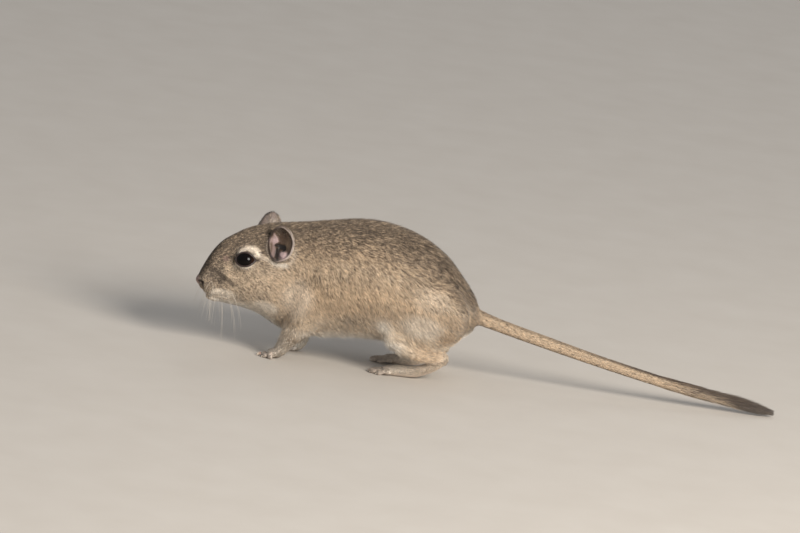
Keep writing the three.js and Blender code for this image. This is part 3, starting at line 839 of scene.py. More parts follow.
def piece_from(name, points, faces, material, marks=None, uv=None, turn=True, mesh=None):
    """A finished piece: points in millimetres, faces as rows of one length or a list."""
    placed = to_frame(turn_head(points) if turn else points)
    placed[:, 2] = np.maximum(placed[:, 2], ABOVE_FLOOR)
    if mesh is None:
        mesh = bpy.data.meshes.new(name)
        if isinstance(faces, np.ndarray):
            count, corners = faces.shape
            mesh.vertices.add(len(placed))
            mesh.loops.add(count * corners)
            mesh.polygons.add(count)
            mesh.loops.foreach_set("vertex_index", np.ascontiguousarray(faces, np.int32).ravel())
            mesh.polygons.foreach_set("loop_start", np.arange(0, count * corners, corners, dtype=np.int32))
            mesh.vertices.foreach_set("co", np.ascontiguousarray(placed, np.float32).ravel())
        else:
            mesh.from_pydata(placed.tolist(), [], faces)
    else:
        mesh.name = name
        mesh.vertices.foreach_set("co", np.ascontiguousarray(placed, np.float32).ravel())
    mesh.polygons.foreach_set("use_smooth", np.ones(len(mesh.polygons), bool))
    mesh.update(calc_edges=True)
    for key, values in (marks or {}).items():
        layer = mesh.attributes.new(key, "FLOAT", "POINT")
        layer.data.foreach_set("value", np.ascontiguousarray(values, np.float32))
    if uv is not None:
        layer = mesh.uv_layers.new(name="OFBake")
        layer.data.foreach_set("uv", np.ascontiguousarray(uv, np.float32).ravel())
    mesh.materials.append(material)
    made = bpy.data.objects.new(name, mesh)
    bpy.context.scene.collection.objects.link(made)
    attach(made, "root")
    return made


# Colours, written as they look
def tone(red, green, blue):
    """A colour for a node, from its parts as they look, out of 255."""
    channels = [value / 255 for value in (red, green, blue)]
    linear = [c / 12.92 if c <= 0.04045 else ((c + 0.055) / 1.055) ** 2.4 for c in channels]
    return (*linear, 1.0)


SAND = tone(226, 203, 174)
GREY_BUFF = tone(204, 188, 168)
OCHRE = tone(226, 186, 138)
CREAM = tone(246, 238, 226)
TICK = tone(72, 57, 47)
SLATE = tone(138, 122, 106)
FLESH = tone(190, 156, 146)
# The darkest coat tone: sooty hair, and also painted shade under the tail, in the nostrils and along the
# whisker pad's fold
SOOT_AND_SHADE = tone(56, 41, 33)


class Tree:
    """Puts nodes in a node tree: a value that is a socket is linked, any other is set."""

    def __init__(self, nodes, links):
        self.nodes, self.links = nodes, links

    def feed(self, made, inputs):
        for key, value in inputs.items():
            socket = made.inputs[key]
            if isinstance(value, bpy.types.NodeSocket):
                self.links.new(value, socket)
            else:
                socket.default_value = value

    def add(self, kind, inputs=None, output=0, **settings):
        made = self.nodes.new(kind)
        for key, value in settings.items():
            setattr(made, key, value)
        self.feed(made, inputs or {})
        return made.outputs[output]

    def group(self, group, inputs):
        made = self.nodes.new("ShaderNodeGroup")
        made.node_tree = group
        self.feed(made, inputs)
        return made.outputs

    def place(self):
        return self.add("ShaderNodeTexCoord", output="Object")

    def mark(self, name):
        return self.add("ShaderNodeAttribute", attribute_name=name, output="Fac")

    def blend(self, share, a, b):
        return self.add("ShaderNodeMix", {0: share, 6: a, 7: b}, output=2, data_type="RGBA")

    def scaled(self, colour, by):
        return self.add("ShaderNodeVectorMath", {0: colour, "Scale": by}, operation="SCALE")

    def math(self, operation, a, b=0.0):
        return self.add("ShaderNodeMath", {0: a, 1: b}, operation=operation)

    def between(self, value, low, high, start=0.0, end=1.0):
        ends = {"From Min": low, "From Max": high, "To Min": start, "To Max": end}
        return self.add("ShaderNodeMapRange", {"Value": value, **ends}, interpolation_type="SMOOTHSTEP")


def node_group(name, inputs, outputs, build):
    """A shader node group with named sockets, filled in by a function."""
    group = bpy.data.node_groups.new(name, "ShaderNodeTree")
    for key, (kind, value) in inputs.items():
        socket = group.interface.new_socket(name=key, in_out="INPUT", socket_type=kind)
        socket.default_value = value
    for key, kind in outputs.items():
        group.interface.new_socket(name=key, in_out="OUTPUT", socket_type=kind)
    tree = Tree(group.nodes, group.links)
    entry = group.nodes.new("NodeGroupInput")
    leave = group.nodes.new("NodeGroupOutput")
    for key, socket in build(tree, entry.outputs).items():
        group.links.new(socket, leave.inputs[key])
    return group


def build_pelage(tree, given):
    """Banded agouti hair: slate root, sandy shaft, dark tick on some tips."""
    chance, rise = given["Chance"], given["Root to tip"]
    second = tree.math("FRACT", tree.math("MULTIPLY", chance, 7.31))
    sand = tree.blend(second, SAND, GREY_BUFF)
    warm = tree.blend(given["Warm"], sand, OCHRE)
    pale = tree.blend(given["Pale"], warm, CREAM)
    ticked = tree.math("SUBTRACT", tree.math("MULTIPLY", given["Dark"], 0.7), chance)
    ticked = tree.between(ticked, -0.06, 0.06)
    near_tip = tree.between(rise, 0.1, 0.4)
    ticked = tree.math("MULTIPLY", tree.math("MULTIPLY", ticked, near_tip), 0.85)
    ticked = tree.math("MULTIPLY", ticked, tree.between(given["Pale"], 0.3, 0.8, 1.0, 0.1))
    coat = tree.blend(ticked, pale, TICK)
    root = tree.between(rise, 0.0, 0.3, 0.5, 0.0)
    root = tree.math("MULTIPLY", root, tree.between(given["Pale"], 0.2, 0.9, 1.0, 0.25))
    coat = tree.blend(root, coat, SLATE)
    coat = tree.blend(given["Pink"], coat, FLESH)
    # the darkest tone: sooty hair, and painted shade where the mark is laid for it
    coat = tree.blend(given["Soot_And_Shade"], coat, SOOT_AND_SHADE)
    light = tree.between(given["Sheen"], 0.0, 1.0, 0.65, 1.29)
    light = tree.math("MULTIPLY", light, tree.between(given["Dark"], 0.35, 1.0, 1.0, 0.6))
    return {"Colour": tree.scaled(coat, light), "Roughness": tree.between(chance, 0.0, 1.0, 0.5, 0.72)}


def build_grain(tree, given):
    """Fine relief of skin and horn, and the shade that goes with it."""
    place, scale = tree.place(), given["Scale"]
    fine = tree.add("ShaderNodeTexNoise", {"Vector": place, "Scale": scale, "Detail": 4.0, "Roughness": 0.6})
    cells = tree.add("ShaderNodeTexVoronoi", {"Vector": place, "Scale": tree.math("MULTIPLY", scale, 1.4)})
    creases = tree.math("MULTIPLY", cells, given["Creases"])
    height = tree.math("ADD", tree.math("MULTIPLY", fine, 0.7), creases)
    return {"Height": height, "Shade": tree.between(fine, 0.3, 0.7, 0.86, 1.1)}


PELAGE = node_group(
    "agouti pelage",
    {
        "Root to tip": ("NodeSocketFloat", 0.5),
        "Chance": ("NodeSocketFloat", 0.5),
        "Sheen": ("NodeSocketFloat", 0.5),
        "Dark": ("NodeSocketFloat", 0.5),
        "Pale": ("NodeSocketFloat", 0.0),
        "Warm": ("NodeSocketFloat", 0.0),
        "Pink": ("NodeSocketFloat", 0.0),
        "Soot_And_Shade": ("NodeSocketFloat", 0.0),
    },
    {"Colour": "NodeSocketColor", "Roughness": "NodeSocketFloat"},
    build_pelage,
)
GRAIN = node_group(
    "skin grain",
    {"Scale": ("NodeSocketFloat", 2000.0), "Creases": ("NodeSocketFloat", 0.4)},
    {"Height": "NodeSocketFloat", "Shade": "NodeSocketFloat"},
    build_grain,
)


def new_material(name):
    made = bpy.data.materials.new(name)
    made.use_nodes = True
    tree = Tree(made.node_tree.nodes, made.node_tree.links)
    shader = made.node_tree.nodes["Principled BSDF"]
    return made, tree, shader


def lay_grain(tree, shader, colour, scale, creases, relief=None, rough=None):
    """Puts on a colour shaded by the grain, with the grain's relief and gloss where they are given."""
    grain = tree.group(GRAIN, {"Scale": scale, "Creases": creases})
    tree.links.new(tree.scaled(colour, grain["Shade"]), shader.inputs["Base Color"])
    if relief:
        strength, distance = relief
        raised = {"Height": grain["Height"], "Strength": strength, "Distance": distance}
        tree.links.new(tree.add("ShaderNodeBump", raised), shader.inputs["Normal"])
    if rough:
        tree.links.new(tree.between(grain["Shade"], 0.8, 1.1, *rough), shader.inputs["Roughness"])


def coat_material(name):
    made, tree, shader = new_material(name)
    given = {key.title(): tree.mark(key) for key in (*MARKS, "chance", "sheen")}
    pelage = tree.group(PELAGE, {"Root to tip": tree.mark("root_to_tip"), **given})
    tree.links.new(pelage["Colour"], shader.inputs["Base Color"])
    tree.links.new(pelage["Roughness"], shader.inputs["Roughness"])
    shader.inputs["Specular IOR Level"].default_value = 0.35
    shader.inputs["Sheen Weight"].default_value = 0.12
    shader.inputs["Sheen Roughness"].default_value = 0.4
    return made


def skin_material():
    made, tree, shader = new_material("skin under the coat")
    fine = tree.add("ShaderNodeTexNoise", {"Vector": tree.place(), "Scale": 2600.0, "Detail": 2.0})
    marks = {key.title(): tree.mark(key) for key in MARKS}
    rise = tree.between(fine, 0.3, 0.7, 0.2, 0.75)
    pelage = tree.group(PELAGE, {"Root to tip": rise, "Chance": fine, "Sheen": 0.2, **marks})
    lay_grain(tree, shader, pelage["Colour"], 2600.0, 0.3, relief=(0.35, 0.0002))
    tree.links.new(pelage["Roughness"], shader.inputs["Roughness"])
    shader.inputs["Sheen Weight"].default_value = 0.1
    return made


# The coat itself: thin solid tufts, rooted in the skin and lying along it
TUFT_COUNT = 338000
BRUSH_COUNT = 9000
EAR_HAIR_COUNT = 4200
LEADERS = (0.13, 0.33)  # share of the tufts that the others near them follow, where short and long
LEADER_LENGTH = 8  # length of coat at which all tufts would lead
FOLLOWS = 0.26  # how far a tuft's tip may be drawn to its leader's
STRAYS = 0.05
PIECE_LIMIT = 199000  # triangles in one coat piece
TUFT_FACES = np.array([(0, 1, 2), (0, 3, 1), (1, 3, 2), (2, 3, 0)])  # root corners and tip
PATCH = 0.003  # how far across a tuft's patch of the map is
MAP_EDGE = 0.01
MAP_SPAN = 0.97
TRUNK_BAND = 0.55  # the trunk's share of the skin's map
LIMB_NAMES = ["trunk"] + list(limb_lines())


def scattered(points, faces, fields):
    """Roots spread over the skin, closer together where the coat is short: faces and weights."""
    corners = points[faces]
    area = np.linalg.norm(np.cross(corners[:, 1] - corners[:, 0], corners[:, 2] - corners[:, 0]), axis=1)
    keys = ("length", "width", "bare", "cover")
    length, width, bare, cover = (fields[key][faces].mean(1) for key in keys)
    rate = area / (length * width) * cover * (1 - bare)
    rate *= TUFT_COUNT / rate.sum()
    count = np.floor(rate + rng.random(len(rate))).astype(int)
    face = np.repeat(np.arange(len(faces)), count)
    a, b = rng.random(len(face)), rng.random(len(face))
    over = a + b > 1
    a[over], b[over] = 1 - a[over], 1 - b[over]
    return face, np.stack([1 - a - b, a, b], 1)


def grow(points, faces, normals, fields):
    """The roots, tips and marks of all the tufts."""
    face, weights = scattered(points, faces, fields)
    corner = faces[face]

    def read(values):
        picked = values[corner]
        return (picked * (weights[..., None] if picked.ndim == 3 else weights)).sum(1)

    root, normal, lie = read(points), unit(read(normals)), unit(read(fields["lie"]))
    count = len(root)
    leads = np.flatnonzero(rng.random(count) < np.clip(read(fields["length"]) / LEADER_LENGTH, *LEADERS))
    finder = KDTree(len(leads))
    for k, point in enumerate(root[leads].tolist()):
        finder.insert(point, k)
    finder.balance()
    leader = leads[[finder.find(point)[1] for point in root.tolist()]]

    def varied(own, shared):
        return own * rng.normal(size=count) + shared * rng.normal(size=count)[leader]

    aside = unit(np.cross(normal, lie))
    lie = unit(lie + aside * varied(0.13, 0.15)[:, None])
    aside = unit(np.cross(normal, lie))
    length = read(fields["length"]) * rng.uniform(0.7, 1.25, count)
    depth = read(fields["depth"])
    loose = read(fields["loose"])
    lift = depth * np.clip(0.9 + varied(0.2, 0.14 + 0.5 * loose), 0.35, 1.5 + 0.7 * loose)
    stray = rng.random(count) < STRAYS + 0.3 * loose
    lift = np.where(stray, lift * (1.4 + 0.5 * rng.random(count) * loose) + 0.08, lift)

    tree = BVHTree.FromPolygons(points.tolist(), faces.tolist(), all_triangles=True)
    found = [tree.find_nearest(point) for point in (root + lie * length[:, None]).tolist()]
    under = faces[np.array([hit[2] for hit in found])]
    tip_normal = unit(normals[under].mean(1))
    tip = np.array([hit[0] for hit in found]) + tip_normal * lift[:, None]
    drawn = tip[leader] - tip
    pull = FOLLOWS * rng.random(count) * (np.linalg.norm(drawn, axis=1) < length)
    tip = tip + drawn * pull[:, None]

    chance = 0.36 * rng.random(count) + 0.64 * rng.random(count)[leader]
    marks = {key: fields[key][under].mean(1) for key in MARKS}
    marks["chance"] = (chance - 0.08) / 0.84
    marks["sheen"] = 0.38 * rng.random(count) + 0.62 * rng.random(count)[leader]
    owner = corner[np.arange(count), weights.argmax(1)]
    width = read(fields["width"]) * rng.uniform(0.75, 1.3, count)
    tufts = dict(root=root, normal=normal, aside=aside, tip=tip, width=width, depth=depth, **marks)
    tufts.update({key: fields[key][owner] for key in ("chart", "place", "angle")})
    keep = clear_of_face(tufts)
    return {key: value[keep] for key, value in tufts.items()}


def clear_of_face(tufts):
    """False for the tufts that would cross an open eye or stand in an ear."""
    keep = np.ones(len(tufts["root"]), bool)
    for side in SIDES.values():
        for share in (0, 0.5, 1):
            part = mix(tufts["root"], tufts["tip"], share)
            _, _, looks, rim = eye_view(part, side)
            keep &= ~((rim < 1.04) & (looks > 0)) & ~inside_ear(part, side)
    return keep


def grow_brush():
    """The longer hair of the tail's last third, standing out most along its top."""
    count = BRUSH_COUNT
    start = rng.uniform(0.6, TAIL_BRUSH_ENDS, count)
    start = start[rng.random(count) < ramp(start, 0.58, 0.7)]
    count = len(start)
    turn = rng.uniform(0, 2 * math.pi, count)
    length = mix(0.045, 0.085, ramp(start, 0.62, 0.8)) * rng.uniform(0.7, 1.2, count)
    end = np.minimum(start + length, 1.01 - 0.07 * rng.random(count) ** 2)
    line = tail_stations(0, 1, 400, tail_radius)
    last = len(line) - 1
    _, across, up = frames_along(line[:, :3])

    def around_tail(t, out, turning):
        k = np.clip(t * last, 0, last).astype(int)
        way = across[k] * np.cos(turning)[:, None] - up[k] * np.sin(turning)[:, None]
        return line[k, :3] + way * out[:, None], way

    above = np.sin(turn)
    reach = tail_radius(end) * (1 + 0.08 * np.maximum(0, above)) * rng.uniform(0.5, 1.02, count)
    reach = reach * (1 - 0.5 * ramp(end, 0.96, 1.02))
    wander = turn + rng.normal(0, 0.22, count)
    root, normal = around_tail(start, tail_core(start) * 0.9, turn)
    tip, _ = around_tail(end, reach, wander)
    tip[:, 2] = np.maximum(tip[:, 2], 0.15)
    aside = unit(np.cross(normal, tip - root))
    chance = rng.random(count)
    edge = np.interp(end, [0.6, 0.75, 0.82, 0.88, 0.93], [0.8, 0.55, 0.35, -0.1, -1.2])
    dark = ramp(above + 0.12 * rng.normal(size=count), edge - 0.25, edge + 0.25)
    soot_and_shade = np.maximum(0.12, dark * rng.uniform(0.7, 0.95, count))
    still = np.ones(count)
    return dict(
        root=root, normal=normal, aside=aside, tip=tip, width=still * 0.3 * rng.uniform(0.7, 1.2, count),
        depth=still * 0.3, dark=still * 0.5, pale=0.15 * (1 - dark), warm=still * 0.35, pink=0 * still,
        soot_and_shade=soot_and_shade, chance=chance, sheen=rng.random(count), chart=still.astype(int), place=start, angle=turn,
    )


def tuft_mesh(tufts):
    """Points, faces, marks and map of the tufts: each a closed three-sided spike."""
    half = (tufts["width"] / 2)[:, None]
    aside, normal = tufts["aside"], tufts["normal"]
    sunk = tufts["root"] - normal * (0.3 * tufts["depth"] + 0.06)[:, None]
    base = [sunk + aside * half, sunk - aside * half, sunk + normal * half * 0.8]
    points = np.stack([*base, tufts["tip"]], 1)
    a, b, c, tip = (points[:, k] for k in range(4))
    inwards = dot(np.cross(b - a, c - a), tip - a) > 0
    flipped = np.where(inwards[:, None, None], TUFT_FACES[:, ::-1], TUFT_FACES)
    all_faces = (np.arange(len(points))[:, None, None] * 4 + flipped).reshape(-1, 3)
    marks = {key: np.repeat(tufts[key], 4) for key in (*MARKS, "chance", "sheen")}
    marks["root_to_tip"] = np.tile([0.0, 0.0, 0.0, 1.0], len(points))
    low, high = tufts["place"].min(), tufts["place"].max()
    u = MAP_EDGE + MAP_SPAN * (tufts["place"] - low) / (high - low)
    v = MAP_EDGE + MAP_SPAN * (tufts["angle"] / (2 * math.pi) % 1)
    map_u = u[:, None] + PATCH * np.array([-0.5, -0.5, -0.5, 0.5])
    map_v = v[:, None] + PATCH * np.array([0.5, -0.5, 0.0, 0.0])
    uv = np.stack([map_u, map_v], 2).reshape(-1, 2)
    return points.reshape(-1, 3), all_faces, marks, uv[all_faces.ravel()]


def coat_pieces(name, tufts, material):
    """Splits the tufts into pieces along the body, each within the limit."""
    order = np.argsort(tufts["place"], kind="stable")
    pieces = math.ceil(len(order) * len(TUFT_FACES) / PIECE_LIMIT)
    for k, share in enumerate(np.array_split(order, pieces), 1):
        points, faces, marks, uv = tuft_mesh({key: value[share] for key, value in tufts.items()})
        piece_from(f"{name}_{k}", points, faces, material, marks, uv)


def chart_map(faces, fields):
    """A map for the skin itself, on the same unwrap as the tufts, one band for each limb."""
    chart = fields["chart"][faces[:, 0]]
    charts = len(LIMB_NAMES)
    place = np.clip(fields["place"][faces], 0, 1)
    angle = fields["angle"][faces]
    first = angle[:, :1]
    angle = first + (angle - first + math.pi) % (2 * math.pi) - math.pi
    turn = np.clip(angle / (2 * math.pi) + 0.5, 0, 1)
    small = (1 - TRUNK_BAND) / (charts - 1)
    low = np.where(chart == 0, 0, TRUNK_BAND + (chart - 1) * small)[:, None]
    size = np.where(chart == 0, TRUNK_BAND - 0.01, small * 0.92)[:, None]
    edge = MAP_EDGE * 0.4
    return np.stack([MAP_EDGE + MAP_SPAN * place, low + edge + turn * (size - 2 * edge)], 2).reshape(-1, 2)


# Ears: thin oval cups with a rolled rim, open outwards and forwards
EARS = {  # place, way it opens and its lean backwards
    1: ((12.2, 30.9, 48.6), (0.84, -0.5, 0.2), math.radians(-6)),
    -1: ((-12.2, 28.8, 49.5), (-0.9, -0.35, 0.2), math.radians(6)),
}
EAR_HALF_WIDTH = 5.7
EAR_HALF_HEIGHT = 7.5
EAR_DEPTH = 4.6
EAR_TIP_TAPER = 0.04
EAR_RIM_CURL = 0.16
EAR_WALL = 0.5
EAR_SIDES = 112
EAR_RINGS = 38


def ear_axes(side):
    """Forwards along the ear, the way it opens, and up to its tip."""
    _, opens, lean = EARS[side]
    opens = unit(np.array(opens))
    up = np.array([0, math.sin(lean), math.cos(lean)])
    up = unit(up - opens * up.dot(opens))
    front = np.cross(opens, up) * side
    return front, opens, up


def ear_to_body(local, side):
    front, opens, up = ear_axes(side)
    return EARS[side][0] + local[..., :1] * front + local[..., 1:2] * opens + local[..., 2:] * up


def ear_view(points, side):
    """Points as seen from one ear: forwards and up in its half sizes, and how far out of its opening."""
    front, opens, up = ear_axes(side)
    away = points - EARS[side][0]
    return dot(away, front) / EAR_HALF_WIDTH, dot(away, up) / EAR_HALF_HEIGHT, dot(away, opens)


def ear_cup(a, b):
    """The back of the cup at each place, in the ear's depths."""
    return -np.sqrt(np.maximum(0, 1 - a * a - b * b)) - EAR_RIM_CURL * (a * a - b * b)


def inside_ear(points, side):
    """Whether points are in the hollow of an ear's cup."""
    a, b, out = ear_view(points, side)
    out = out / EAR_DEPTH
    return (a * a + b * b < 0.96) & (out > ear_cup(a, b) - 0.03) & (out < 0.45)


# Forms inside the ear, by place forwards and upwards in its half sizes
EAR_FOLD_EDGE = [
    (-0.95, 0.5), (-0.75, 0.42), (-0.5, 0.36), (-0.3, 0.42), (-0.1, 0.54),
    (0.0, 0.5), (0.07, 0.34), (0.15, 0.3), (0.35, 0.4), (0.5, 0.55), (0.9, 0.8),
]
EAR_CANAL = [((0.26, -0.08), (0.34, 0.1)), ((0.02, -0.15), (0.28, 0.18)), ((-0.14, -0.3), (0.16, 0.12))]
EAR_LOBE = ((-0.2, -0.6), (0.5, 0.3))
EAR_NOTCH = [(0.26, -0.15), (0.36, -0.45), (0.27, -0.72), (0.0, -0.88)]


def ear_forms(a, b):
    """How much of the fold, canal, lobe, notch and fold's edge there is at each place."""
    flat = np.stack(np.broadcast_arrays(a, b), -1).reshape(-1, 2)
    edge = np.interp(b, *zip(*EAR_FOLD_EDGE))
    held = (1 - ramp(b, 0.5, 0.95)) * (1 - ramp(-b, 0.8, 1.0))
    fold = ramp(a - edge, -0.05, 0.07) * held
    from_canal = np.min([near_spot(flat, *part) for part in EAR_CANAL], 0).reshape(np.shape(a))
    canal = 1 - ramp(from_canal, 0.55, 1.15)
    lobe = 1 - ramp(near_spot(flat, *EAR_LOBE), 0.4, 1.1).reshape(np.shape(a))
    notch = stroke(flat, EAR_NOTCH, 0.1).reshape(np.shape(a))
    crease = np.exp(-(((a - edge + 0.05) / 0.05) ** 2)) * held
    return fold, canal, lobe, notch, crease


def ear_surface(radius, turn, inner):
    """A point of the ear's cup; turn 0 is the front edge, a quarter turn its tip."""
    a, b = radius * np.cos(turn), radius * np.sin(turn)
    shrink = 1 - (EAR_WALL / EAR_DEPTH if inner else 0)
    deep = -EAR_DEPTH * shrink * np.sqrt(np.maximum(0, 1 - radius**2))
    if inner:
        fold, canal, lobe, notch, _ = ear_forms(a, b)
        ridge = np.exp(-(((radius - 0.62) / 0.12) ** 2)) * ramp(-a, -0.1, 0.4)
        thinnest = 0.15 - EAR_DEPTH * np.sqrt(np.maximum(0, 1 - radius**2))
        deep = deep * (1 - 0.6 * fold) * (1 - 0.4 * lobe) + 0.4 * ridge - 0.5 * canal - 0.3 * notch
        deep = np.maximum(deep, thinnest)
    curl = EAR_RIM_CURL * (a * a - b * b)
    tip = np.maximum(0, b)
    x = a * EAR_HALF_WIDTH * (1 - EAR_TIP_TAPER * tip * tip) * shrink
    return np.stack([x, deep - curl * EAR_DEPTH, b * EAR_HALF_HEIGHT * shrink], -1)


def make_ear(name, side, material):
    turns = np.linspace(0, 2 * math.pi, EAR_SIDES, endpoint=False)
    rings, radii, insides = [], [], []
    for inner in (False, True):
        for k in range(EAR_RINGS, 0, -1) if inner else range(1, EAR_RINGS + 1):
            radius = math.sin(k / EAR_RINGS * math.pi / 2) * (1 if k < EAR_RINGS else 0.995)
            rings.append(ear_surface(radius, turns, inner))
            radii.append(radius)
            insides.append(float(inner))
        if not inner:
            lip = (ear_surface(1.0, turns, False) + ear_surface(1.0, turns, True)) / 2
            rings.append(lip + np.array([0, 0.22, 0]))
            radii.append(1.0)
            insides.append(0.5)
    points, faces = loft(rings, ear_surface(0.0, 0.0, False), ear_surface(0.0, 0.0, True))
    radius = np.append(np.repeat(radii, len(turns)), [0, 0])
    inside = np.append(np.repeat(insides, len(turns)), [0, 1])
    a, b = points[:, 0] / EAR_HALF_WIDTH, points[:, 2] / EAR_HALF_HEIGHT
    fold, canal, lobe, notch, crease = ear_forms(a, b)
    points = points + 0.12 * np.stack([waves(points, 5, 40 + k) for k in range(3)], 1) * radius[:, None]
    within = inside > 0.25
    # painted glow: the fold's pink is strongest across its middle
    painted_glow = 0.3 + 0.6 * np.exp(-(((b - 0.2) / 0.2) ** 2)) - 0.5 * ramp(a, 0.6, 0.78)
    pink = np.where(within, np.clip(painted_glow * fold + 0.8 * lobe, 0, 1), 0)
    # painted shade in the canal, the notch and the crease along the fold, and a painted shadow at the rear
    # of the ear's foot
    painted_slit_shadow = np.exp(-(((a + 0.76) / 0.06) ** 2) - ((b + 0.6) / 0.2) ** 2)
    soot_and_shade = np.where(inside > 0.75, np.clip(canal + notch + 0.4 * crease + 0.8 * painted_slit_shadow, 0, 1), 0)
    # painted shade along the front of the rim
    soot_and_shade = np.maximum(soot_and_shade, 0.5 * ramp(radius, 0.93, 0.99) * ramp(a, -0.2, 0.3))
    rear_rim = ramp(radius, 0.8, 0.9) * ramp(-a, 0.4, 0.75) * (1 - 0.6 * ramp(b, 0.35, 0.75))
    rim = np.maximum(rear_rim, 0.45 * ramp(radius, 0.95, 0.99) * ramp(-a, -0.6, 0.0))
    # a painted sheen on the middle of the ear's back, carried by the rim mark
    painted_shine = 0.5 * np.exp(-((np.hypot(a - 0.05, b - 0.45) / 0.3) ** 2))
    rim = np.where(within, rim, np.maximum(painted_shine, ramp(radius, 0.93, 0.99) * ramp(-a, 0.4, 0.75)))
    # hair on the inner wall, its lighter tone partly painted sheen
    hair_and_sheen = np.exp(-(((a + 0.36) / 0.24) ** 2) - (b / 0.32) ** 2)
    shown = {"pink": pink, "soot_and_shade": soot_and_shade, "rim": rim, "inside": inside, "hair_and_sheen": hair_and_sheen}
    return piece_from(name, ear_to_body(points, side), faces, material, shown)


def grow_ear_hair(side):
    """Short hair on the back of the ear, over its rim and up its inner wall."""
    count = EAR_HAIR_COUNT
    inner = rng.random(count) < 0.32
    radius = np.sqrt(rng.uniform(0.12, 1.0, count))
    turn = rng.uniform(0, 2 * math.pi, count)
    a, b = radius * np.cos(turn), radius * np.sin(turn)
    bare = ear_forms(a, b)[0] + ear_forms(a, b)[2] + ramp(a, -0.1, 0.25) * (b < 0.45)
    kept = ~inner | ((bare < 0.3) & (radius > 0.4))
    inner, radius, turn, a, b = inner[kept], radius[kept], turn[kept], a[kept], b[kept]
    count = len(radius)
    end = np.minimum(radius + rng.uniform(0.1, 0.2, count), 1.0 + 0.07 * rng.random(count))
    bend = turn + rng.normal(0, 0.12, count)
    facing = np.where(inner, -1.0, 1.0)
    sizes = np.array([EAR_HALF_WIDTH, EAR_DEPTH, EAR_HALF_HEIGHT])
    root = np.where(inner[:, None], ear_surface(radius, turn, True), ear_surface(radius, turn, False))
    tip = np.where(inner[:, None], ear_surface(end, bend, True), ear_surface(end, bend, False))
    normal = unit(root / sizes**2) * facing[:, None]
    tip = tip + normal * rng.uniform(0.08, 0.3, count)[:, None] * (1 - 0.5 * inner)[:, None]
    origin = ear_to_body(np.zeros(3), side)
    root, tip = ear_to_body(root, side), ear_to_body(tip, side)
    normal = ear_to_body(normal, side) - origin
    behind = ramp(-a, 0.3, 0.7) * ramp(radius, 0.75, 0.95)
    # a painted sheen on the middle of the ear's back
    painted_sheen = np.where(inner, 0, np.exp(-((np.hypot(a - 0.05, b - 0.4) / 0.32) ** 2)))
    # painted shade along the top of the rim
    edge = ramp(radius, 0.84, 0.96) * ramp(b, 0.1, 0.4)
    soot_and_shade = (np.where(inner, 0.35, 0.15) + 0.4 * edge) * (1 - behind) * (1 - painted_sheen)
    still = np.ones(count)
    return dict(
        root=root, normal=normal, aside=unit(np.cross(normal, tip - root)), tip=tip,
        width=still * 0.13, depth=still * 0.05, dark=0.75 - 0.5 * behind - 0.4 * painted_sheen,
        pale=0.1 + 0.6 * behind * (side > 0) + 0.5 * painted_sheen, warm=still * 0.05, pink=still * 0.1,
        soot_and_shade=soot_and_shade, chance=rng.random(count), sheen=rng.random(count), place=radius + 1.2 * inner, angle=turn,
    )


EAR_OUTSIDE = tone(122, 106, 96)
EAR_INSIDE = tone(94, 73, 58)
# The pale rim tone also paints a sheen on the ear's back, the hair tone partly a sheen on the inner wall,
# and the near-black tone paints shade in the canal, notch and crease and along the rim
EAR_TONES = {
    "hair_and_sheen": tone(136, 114, 92),
    "pink": tone(196, 170, 168),
    "rim": tone(188, 172, 162),
    "soot_and_shade": tone(28, 19, 15),
}


def ear_material():
    made, tree, shader = new_material("ear skin")
    hide = tree.blend(tree.mark("inside"), EAR_OUTSIDE, EAR_INSIDE)
    for mark, colour in EAR_TONES.items():
        hide = tree.blend(tree.mark(mark), hide, colour)
    lay_grain(tree, shader, hide, 1800.0, 0.25, relief=(0.3, 0.0002), rough=(0.62, 0.5))
    shader.inputs["Sheen Weight"].default_value = 0.1
    return made


# Eyes and their lids
EYE_SIDES = 48
EYE_RINGS = 32
CORNEA_BULGE = 0.035


def make_eye(name, side, material):
    rear, up, looks = eye_axes(side)
    centre = np.array(EYE) * (side, 1, 1)
    rings, lean_marks = [], []
    turns = np.linspace(0, 2 * math.pi, EYE_SIDES, endpoint=False)
    for k in range(1, EYE_RINGS):
        lean = math.pi * k / EYE_RINGS
        bulge = 1 + CORNEA_BULGE * math.exp(-((lean / 0.75) ** 2))
        ring = (
            rear * np.sin(lean) * np.cos(turns)[:, None]
            + up * np.sin(lean) * np.sin(turns)[:, None]
            + looks * math.cos(lean) * bulge
        )
        rings.append(centre + ring * EYE_RADIUS)
        lean_marks.append(np.full(len(turns), math.sin(lean) if lean < math.pi / 2 else 1.0))
    front = centre + looks * EYE_RADIUS * (1 + CORNEA_BULGE)
    back = centre - looks * EYE_RADIUS
    points, faces = loft(rings, front, back)
    rim = np.append(np.concatenate(lean_marks), [0, 1])
    return piece_from(name, points, faces, material, {"rim": rim})


def eye_material():
    made, tree, shader = new_material("dark wet eye")
    fleck = tree.add("ShaderNodeTexNoise", {"Vector": tree.place(), "Scale": 900.0, "Detail": 3.0})
    iris = tree.blend(fleck, tone(30, 18, 12), tone(46, 28, 18))
    colour = tree.blend(tree.between(tree.mark("rim"), 0.55, 0.95), tone(10, 7, 6), iris)
    tree.links.new(colour, shader.inputs["Base Color"])
    tree.links.new(tree.between(fleck, 0.2, 0.8, 0.03, 0.07), shader.inputs["Roughness"])
    shader.inputs["Specular IOR Level"].default_value = 0.12
    shader.inputs["Coat Weight"].default_value = 0.02
    shader.inputs["Coat Roughness"].default_value = 0.02
    return made


